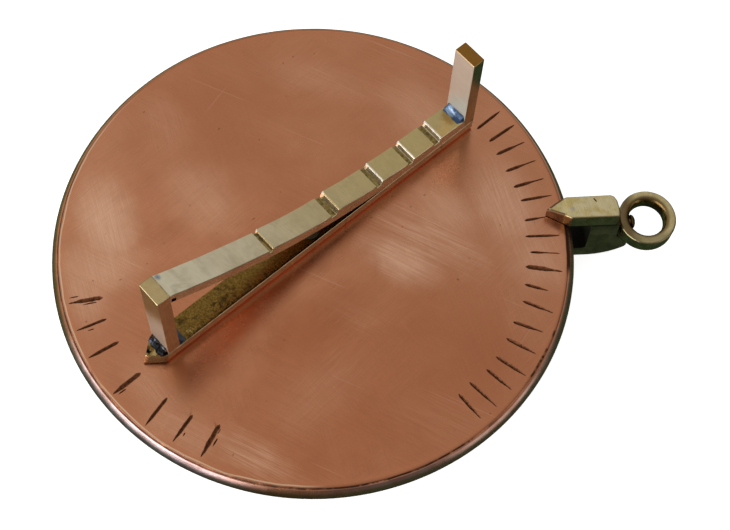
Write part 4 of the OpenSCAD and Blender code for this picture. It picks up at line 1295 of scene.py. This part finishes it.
def fillet_piece(name, node, mat, s0, z0, sign, run, rise, half, lump, seed, slope=0.0, up=1.0, ragged=1.0):
    """A lumpy solder fillet in a corner, closed all round."""
    ny, na = 26, 13
    verts, faces = [], []
    for j in range(ny + 1):
        y = -half + 2 * half * j / ny
        e = min(1.0, (min(j, ny - j) / 2.6 + 0.35))
        rr = run * (0.80 + 0.34 * ragged * nz(y, seed, 0, 1.1, seed)) * e
        hh = rise * (0.82 + 0.30 * ragged * nz(y, seed + 4, 2, 1.0, seed)) * e
        ring = [(0.0, 0.0)]
        for k in range(na + 1):
            t = math.pi / 2 * k / na
            a = rr * (1 - math.sin(t))
            b = hh * (1 - math.cos(t))
            n1 = nz(a * 2, y * 2, b * 2, 1.0, seed + 1)
            bulge = lump * (0.35 + 0.8 * n1) * math.sin(2 * t) * e
            ring.append((a + bulge * 0.7, b + bulge * 0.7))
        for a, b in ring:
            verts.append((s0 + sign * a, y, z0 + up * b + slope * a))
    m = na + 2
    for j in range(ny):
        for k in range(m):
            k2 = (k + 1) % m
            faces.append((j * m + k, j * m + k2, (j + 1) * m + k2, (j + 1) * m + k))
    faces.append(tuple(range(m))[::-1])
    faces.append(tuple(ny * m + k for k in range(m)))
    out = [gnomon_frame(*v) for v in verts]
    o = to_object(name, out, faces, [mat], None, angle=50.0)
    return place(o, "gnomon", node, node)


fillet_piece("post_foot_solder", "post_outer_solder", mat_sol_navy, -43.0, BASE_Z1, -1, 2.0, 2.3, 2.85, 0.45, 3.0)
fillet_piece("post_corner_solder", "post_inner_solder", mat_sol_grey, -39.8, BASE_Z1, 1, 2.4, 2.4, 3.0, 0.18, 8.0, ragged=0.25)
fillet_piece("upright_foot_solder", "upright_solder", mat_sol_blue, 45.2, BASE_Z1 + 3.0, -1, 2.3, 2.0, 2.9, 0.12, 14.0, slope=0.065, ragged=0.4)
fillet_piece("post_top_solder", "post_head_solder", mat_sol_head, -39.8, BASE_Z1 + under(-39.8), 1, 1.3, 0.9, 2.45, 0.1, 21.0, up=-1.0, ragged=0.5)


# ---------------------------------------------------------------- the pivot, behind the disc

def turned(name, prof, n, body, node, mat, cx=PIVOT[0], cy=PIVOT[1], closed=True, wobble=0.0, angle=35.0):
    vs, fs = lathe(prof, n, closed)
    out = []
    for x, y, z in vs:
        k = 1.0 + wobble * nz(x, y, z, 1.2, 4.0)
        out.append((cx + x * k, cy + y * k, z))
    o = to_object(name, out, fs, [mat], None, angle=angle)
    return place(o, body, node, node)


def ring_prof(ri, ro, z0, z1, c=0.08):
    return [(ri, z0 + c), (ri + c * 0.3, z0 + c * 0.3), (ri + c, z0), (ro - c, z0), (ro - c * 0.3, z0 + c * 0.3), (ro, z0 + c),
            (ro, z1 - c), (ro - c * 0.3, z1 - c * 0.3), (ro - c, z1), (ri + c, z1), (ri + c * 0.3, z1 - c * 0.3), (ri, z1 - c)]


dome = [(1.4 + 0.9 * math.cos(math.radians(t)), 7.70 + 0.12 + 0.28 * math.sin(math.radians(t))) for t in range(5, 90, 12)]
turned("arbor", [(0, -8.30), (0.8, -8.29), (1.4, -8.24), (1.9, -8.08), (2.3, -7.86), (2.55, -7.55), (2.68, -7.2), (2.66, -7.11), (2.6, -7.1),
                 (1.6, -7.1), (1.6, 7.70), (2.22, 7.70), (2.28, 7.73), (2.3, 7.80)] + dome + [(0, 8.10)],
       72, "disc", "pivot_arbor", mat_arbor, closed=False, wobble=0.0)
turned("face_washer", ring_prof(1.65, 2.9, 4.30, 4.50, 0.04), 72, "gnomon", "gnomon_washer", mat_washer)
turned("hub", [(1.6, -3.9), (4.1, -3.9), (4.25, -3.87), (4.45, -3.70), (4.5, -3.55), (4.5, -1.0), (4.42, -0.9), (4.42, -0.6), (4.5, -0.5),
               (4.5, 0.9), (4.56, 1.05), (4.8, 1.25), (1.6, 1.25)], 84, "disc", "hub_spacer", mat_arbor)
turned("back_washer", ring_prof(1.65, 4.0, -4.5, -4.0), 72, "arm", "arm_washer", mat_steel)
turned("rivet_washer", ring_prof(1.6, 3.6, -7.1, -6.6), 72, "disc", "tail_washer", mat_washer)


# ---------------------------------------------------------------- the suspension

def arm_piece():
    pts = [(58.4, -3.0), (58.4, 3.0)]
    a0 = math.asin(3.0 / 5.0)
    pts += [(5 * math.cos(a), 5 * math.sin(a)) for a in np.linspace(a0, 2 * math.pi - a0, 44)]
    poly = round_corners(pts, [0.3, 0.3] + [0.0] * 44)
    if area2(poly) < 0:
        poly = poly[::-1]
    poly = densify(poly, 1.6)
    vs, fs = slab(poly, -6.5, -4.5, 0.22, 3, 1)
    keep = [f for f in fs if len(f) == 4]
    n = len(poly)
    rows = 8
    verts = vs[: rows * n]
    holes = [(0.0, 0.0, 1.65, 48), (50.5, 0.0, 0.8, 28), (55.5, 0.0, 0.8, 28)]
    rings = {}
    for tag, base, w in (("b", 0, -6.5), ("t", (rows - 1) * n, -4.5)):
        loop = [(verts[base + i][0], verts[base + i][1]) for i in range(n)]
        hs = [[(hx + r * math.cos(2 * math.pi * i / k), hy + r * math.sin(2 * math.pi * i / k)) for i in range(k)] for hx, hy, r, k in holes]
        pts2, tris, loops = fill(loop, hs)
        where = {k: base + i for i, k in enumerate(loops[0])}
        for hi, lp in enumerate(loops[1:]):
            rings[(tag, hi)] = []
            for k in lp:
                where[k] = len(verts)
                rings[(tag, hi)].append(len(verts))
                verts.append((pts2[k][0], pts2[k][1], w))
        for t in tris:
            f = tuple(where[k] for k in t)
            keep.append(f[::-1] if tag == "b" else f)
    for hi in range(3):
        a, b = rings[("t", hi)], rings[("b", hi)]
        for i in range(len(a)):
            j = (i + 1) % len(a)
            keep.append((a[i], a[j], b[j], b[i]))
    out = [(PIVOT[0] + x, PIVOT[1] + y, z) for x, y, z in verts]
    o = to_object("arm_strip", out, keep, [mat_arm], None, angle=28.0)
    return place(o, "arm", "suspension_arm", "suspension_arm")


arm_piece()

place(node_piece("rivets", "arm_rivets", [mat_rivet], bevel=0.08), "arm", "arm_rivets", "arm_rivets")
place(node_piece("shackle", "shackle_body", [mat_shackle], bevel=0.22, segments=3, angle=26), "arm", "shackle_body", "shackle_body")


def pointer_piece():
    tip, w = 54.8, 2.85
    far = 72.1
    pts = [(tip, 0.35), (tip + 5.4, -w), (far - 1.0, -w - 0.05), (far - 0.6, -w + 0.4), (far - 0.5, -0.8), (far - 0.8, 1.4), (far - 1.4, 2.5),
           (far - 2.2, w + 0.05), (tip + 4.7, w - 0.05), (tip + 3.7, w - 0.4), (tip + 2.2, w - 1.15), (tip + 1.0, 0.95)]
    outline = densify(round_corners(pts, [0.12, 0.2, 0.15, 0.1, 0.2, 0.2, 0.2, 0.3, 0.3, 0.3, 0.3, 0.3], 2, 12.0), 0.8)
    if area2(outline) < 0:
        outline = outline[::-1]
    n = len(outline)
    rt, rb, z0, z1 = 0.52, 0.16, 4.5, 8.7
    rings = [(rb * (1 - math.sin(a)), z0 + rb * (1 - math.cos(a))) for a in (0.0, 0.8, math.pi / 2)]
    rings += [(0.0, z0 + 1.4), (0.0, z0 + 2.6)]
    rings += [(rt * (1 - math.sin(a)) * 1.15, z1 - rt * (1 - math.cos(a)) * 0.8) for a in (math.pi / 2, 1.25, 0.95, 0.65, 0.35, 0.15, 0.0)]
    verts, faces = [], []
    for d, z in rings:
        verts += [(p[0], p[1], z) for p in (inset(outline, d) if d > 1e-9 else outline)]
    for k in range(len(rings) - 1):
        for i in range(n):
            j = (i + 1) % n
            faces.append((k * n + i, k * n + j, (k + 1) * n + j, (k + 1) * n + i))
    for base, z, flip, grid in ((0, z0, True, 2.0), ((len(rings) - 1) * n, z1, False, 0.8)):
        loop = [(verts[base + i][0], verts[base + i][1]) for i in range(n)]
        inner = inset(loop, 0.3)
        extra = [(x, y) for x in np.arange(tip, far, grid) for y in np.arange(-2.8, 2.9, grid) if inside((x, y), inner)]
        pts2, tris, loops = fill(loop, (), extra)
        where = {idx: base + k for k, idx in enumerate(loops[0])}
        for i, p in enumerate(pts2):
            if i not in where:
                where[i] = len(verts)
                verts.append((p[0], p[1], z))
        for t in tris:
            f = tuple(where[i] for i in t)
            faces.append(f[::-1] if flip else f)
    a = math.radians(-1.9)
    out = []
    for x, y, z in verts:
        # the top slopes down to the tip
        drop = 1.6 / 5.6 * max(0.0, tip + 4.6 - x)
        z = z0 + (z - z0) * (4.2 - drop) / 4.2
        if z > z0 + 1.0:
            z -= 0.02 * (1 + nz(x, y, 0.0, 2.2, 3.0))
        dx = x - 71.2
        out.append((dx * math.cos(a) - y * math.sin(a) + 71.2 - 79.45, dx * math.sin(a) + y * math.cos(a) + 0.2, z))
    o = to_object("pointer", out, faces, [mat_pointer], None, angle=34.0)
    return place(o, "arm", "pointer_plate", "pointer_plate")


pointer_piece()
place(node_piece("pointer_joint", "pointer_solder", [mat_sol_grey], bevel=0.05), "arm", "pointer_solder", "pointer_solder")


def pin_piece():
    prof = [(0, 0), (1.0, 0), (1.0, 8.6), (1.62, 8.6), (1.72, 8.64), (1.75, 8.72), (1.75, 8.82)]
    prof += [(1.75 * math.cos(math.radians(t)), 8.82 + 0.90 * math.sin(math.radians(t))) for t in range(8, 88, 8)] + [(0, 9.74)]
    vs, fs = lathe(prof, 60)
    out = []
    for x, y, z in vs:
        if z > 8.6:
            k = 1.0 - 0.02 * (1 + nz(x * 1.4, y * 1.4, z, 1.2, 2))
            x, y = x * k, y * k
            z -= 0.05 * (1 + nz(x * 2, y * 2, z, 0.9, 5)) if z > 8.9 else 0
        out.append((-12.35 + z, -y, x))
    o = to_object("pin", out, fs, [mat_pin], None, angle=35.0)
    return place(o, "arm", "swivel_pin", "swivel_pin")


pin_piece()


def ring_piece():
    ro, ri, hh = 6.85, 4.2, 2.2
    sec = []
    for c, r, h, a0, a1 in (((ro - 0.6, hh - 0.6), 0.6, 0.6, 0, 90), ((ri + 1.25, hh - 1.5), 1.25, 1.5, 90, 180),
                            ((ri + 1.25, -hh + 1.5), 1.25, 1.5, 180, 270), ((ro - 0.6, -hh + 0.6), 0.6, 0.6, 270, 360)):
        for t in range(a0, a1 + 1, 10):
            sec.append((c[0] + r * math.cos(math.radians(t)), c[1] + h * math.sin(math.radians(t))))
    vs, fs = lathe(sec, 168, closed=True)
    roll = math.radians(4.7)
    out = []
    for x, y, z in vs:
        k = 1.0 - 0.004 * (1 + nz(x, y, z, 2.6, 6))
        x, y, z = x * k, y * k, z * (1.0 - 0.006 * (1 + nz(x, y, z, 2.2, 9)))
        out.append((x, y * math.cos(roll) - z * math.sin(roll), y * math.sin(roll) + z * math.cos(roll)))
    body = to_object("ring", out, fs, [mat_ring], None, angle=40.0)
    cv, cf = lathe([(0, 0), (1.08, 0), (1.08, 5.0), (0, 5.0)], 48)
    cutter = to_object("ring_cutter", [(-8.0 + z, -y, x) for x, y, z in cv], cf, [mat_ring], None, angle=30.0)
    mod = body.modifiers.new("hole", "BOOLEAN")
    mod.operation = "DIFFERENCE"
    mod.solver = "EXACT"
    mod.object = cutter
    dg = bpy.context.evaluated_depsgraph_get()
    me = bpy.data.meshes.new_from_object(body.evaluated_get(dg))
    body.modifiers.clear()
    body.data = me
    me.shade_smooth()
    me.set_sharp_from_angle(angle=math.radians(40))
    bpy.data.objects.remove(cutter)
    return place(body, "ring", "suspension_ring", "suspension_ring")


ring_piece()


# ---------------------------------------------------------------- stage, light, camera

def floor():
    me = bpy.data.meshes.new("floor")
    z = -10.0 * MM - 0.00002
    c = (-0.072, 0.0)
    s = 3.0
    me.from_pydata([(c[0] - s, c[1] - s, z), (c[0] + s, c[1] - s, z), (c[0] + s, c[1] + s, z), (c[0] - s, c[1] + s, z)], [], [(0, 1, 2, 3)])
    o = bpy.data.objects.new("floor", me)
    bpy.context.scene.collection.objects.link(o)
    m = Mat("floor_paper")
    g = m.noise(m.obj, 0.02, 2.0)
    m.set("Base Color", m.mix(m.step(g, 0.3, 0.7), (0.90, 0.90, 0.895), (0.93, 0.93, 0.925)))
    m.set("Roughness", 0.85)
    m.set("Specular IOR Level", 0.2)
    m.b.inputs["Emission Color"].default_value = (1, 1, 1, 1)
    m.b.inputs["Emission Strength"].default_value = 0.84
    me.materials.append(m.m)
    o.visible_glossy = False
    return o


floor()


def world():
    w = bpy.data.worlds.new("studio")
    bpy.context.scene.world = w
    w.use_nodes = True
    t = w.node_tree
    t.nodes.clear()
    out = t.nodes.new("ShaderNodeOutputWorld")
    bg = t.nodes.new("ShaderNodeBackground")
    t.links.new(bg.outputs[0], out.inputs[0])
    tc = t.nodes.new("ShaderNodeTexCoord")
    dot = t.nodes.new("ShaderNodeVectorMath")
    dot.operation = "DOT_PRODUCT"
    t.links.new(tc.outputs["Generated"], dot.inputs[0])
    d = Vector((-0.35, 0.62, 0.70)).normalized()
    dot.inputs[1].default_value = d
    mr = t.nodes.new("ShaderNodeMapRange")
    mr.interpolation_type = "SMOOTHSTEP"
    t.links.new(dot.outputs["Value"], mr.inputs["Value"])
    mr.inputs["From Min"].default_value = -0.35
    mr.inputs["From Max"].default_value = 0.95
    mr.inputs["To Min"].default_value = 0.10
    mr.inputs["To Max"].default_value = 0.56
    t.links.new(mr.outputs[0], bg.inputs["Strength"])
    # below the horizon the metal sees a dark green cloth
    sep = t.nodes.new("ShaderNodeSeparateXYZ")
    t.links.new(tc.outputs["Generated"], sep.inputs[0])
    low = t.nodes.new("ShaderNodeMapRange")
    low.interpolation_type = "SMOOTHSTEP"
    t.links.new(sep.outputs[2], low.inputs["Value"])
    low.inputs["From Min"].default_value = -0.10
    low.inputs["From Max"].default_value = 0.12
    mx = t.nodes.new("ShaderNodeMix")
    mx.data_type = "RGBA"
    t.links.new(low.outputs[0], mx.inputs[0])
    mx.inputs[6].default_value = (0.36, 0.60, 0.33, 1)
    mx.inputs[7].default_value = (1.0, 0.995, 0.985, 1)
    t.links.new(mx.outputs[2], bg.inputs["Color"])
    # beyond the floor the camera sees plain white paper
    paper = t.nodes.new("ShaderNodeBackground")
    paper.inputs["Color"].default_value = (1, 1, 1, 1)
    paper.inputs["Strength"].default_value = 1.0
    path = t.nodes.new("ShaderNodeLightPath")
    both = t.nodes.new("ShaderNodeMixShader")
    t.links.new(path.outputs["Is Camera Ray"], both.inputs[0])
    t.links.new(bg.outputs[0], both.inputs[1])
    t.links.new(paper.outputs[0], both.inputs[2])
    t.links.new(both.outputs[0], out.inputs[0])


world()


def softbox(name, at, aim, size, power, colour=(1, 1, 1), size_y=None):
    la = bpy.data.lights.new(name, "AREA")
    la.shape = "RECTANGLE"
    la.size = size
    la.size_y = size_y or size
    la.energy = power
    la.color = colour
    o = bpy.data.objects.new(name, la)
    bpy.context.scene.collection.objects.link(o)
    o.location = at
    o.rotation_mode = "QUATERNION"
    o.rotation_quaternion = (Vector(aim) - Vector(at)).to_track_quat("-Z", "Y")
    return o


mid = (-0.078, 0.0, 0.004)
softbox("key", (-0.30, 0.30, 0.95), mid, 0.60, 0.10, (1.0, 0.99, 0.97))
softbox("window", (-0.75, -0.62, 0.40), mid, 0.65, 4.0, (0.96, 0.97, 1.0))
softbox("side_window", (-0.93, -0.24, 0.35), mid, 0.50, 2.0, (1.0, 0.98, 0.95))
softbox("fill", (0.75, -0.55, 0.30), mid, 0.60, 0.55, (1.0, 0.98, 0.95))
softbox("back", (0.31, 0.78, 0.33), mid, 0.85, 0.12, (1.0, 0.99, 0.97), 0.40)

cam_data = bpy.data.cameras.new("camera")
cam = bpy.data.objects.new("camera", cam_data)
bpy.context.scene.collection.objects.link(cam)
bpy.context.scene.camera = cam
c95, s95 = math.cos(math.radians(9.5)), math.sin(math.radians(9.5))


def turn(v):
    return Vector((c95 * v[0] + s95 * v[1], -s95 * v[0] + c95 * v[1], v[2]))


right = turn((0.9971, 0.0695, 0.0311)).normalized()
forward = turn((-0.0020, 0.4322, -0.9018))
forward = (forward - right * forward.dot(right)).normalized()
down = forward.cross(right)
rot = Matrix((right, -down, -forward)).transposed()
cam.matrix_world = Matrix.Translation(Vector((-90.70, -150.95, 306.15)) * MM) @ rot.to_4x4()
cam_data.sensor_fit = "HORIZONTAL"
cam_data.sensor_width = 36.0
cam_data.lens = 72.493
cam_data.clip_start = 0.01
cam_data.clip_end = 20.0

view = bpy.context.scene.view_settings
view.view_transform = "Standard"
view.look = "None"
view.exposure = 0.0
view.gamma = 1.0
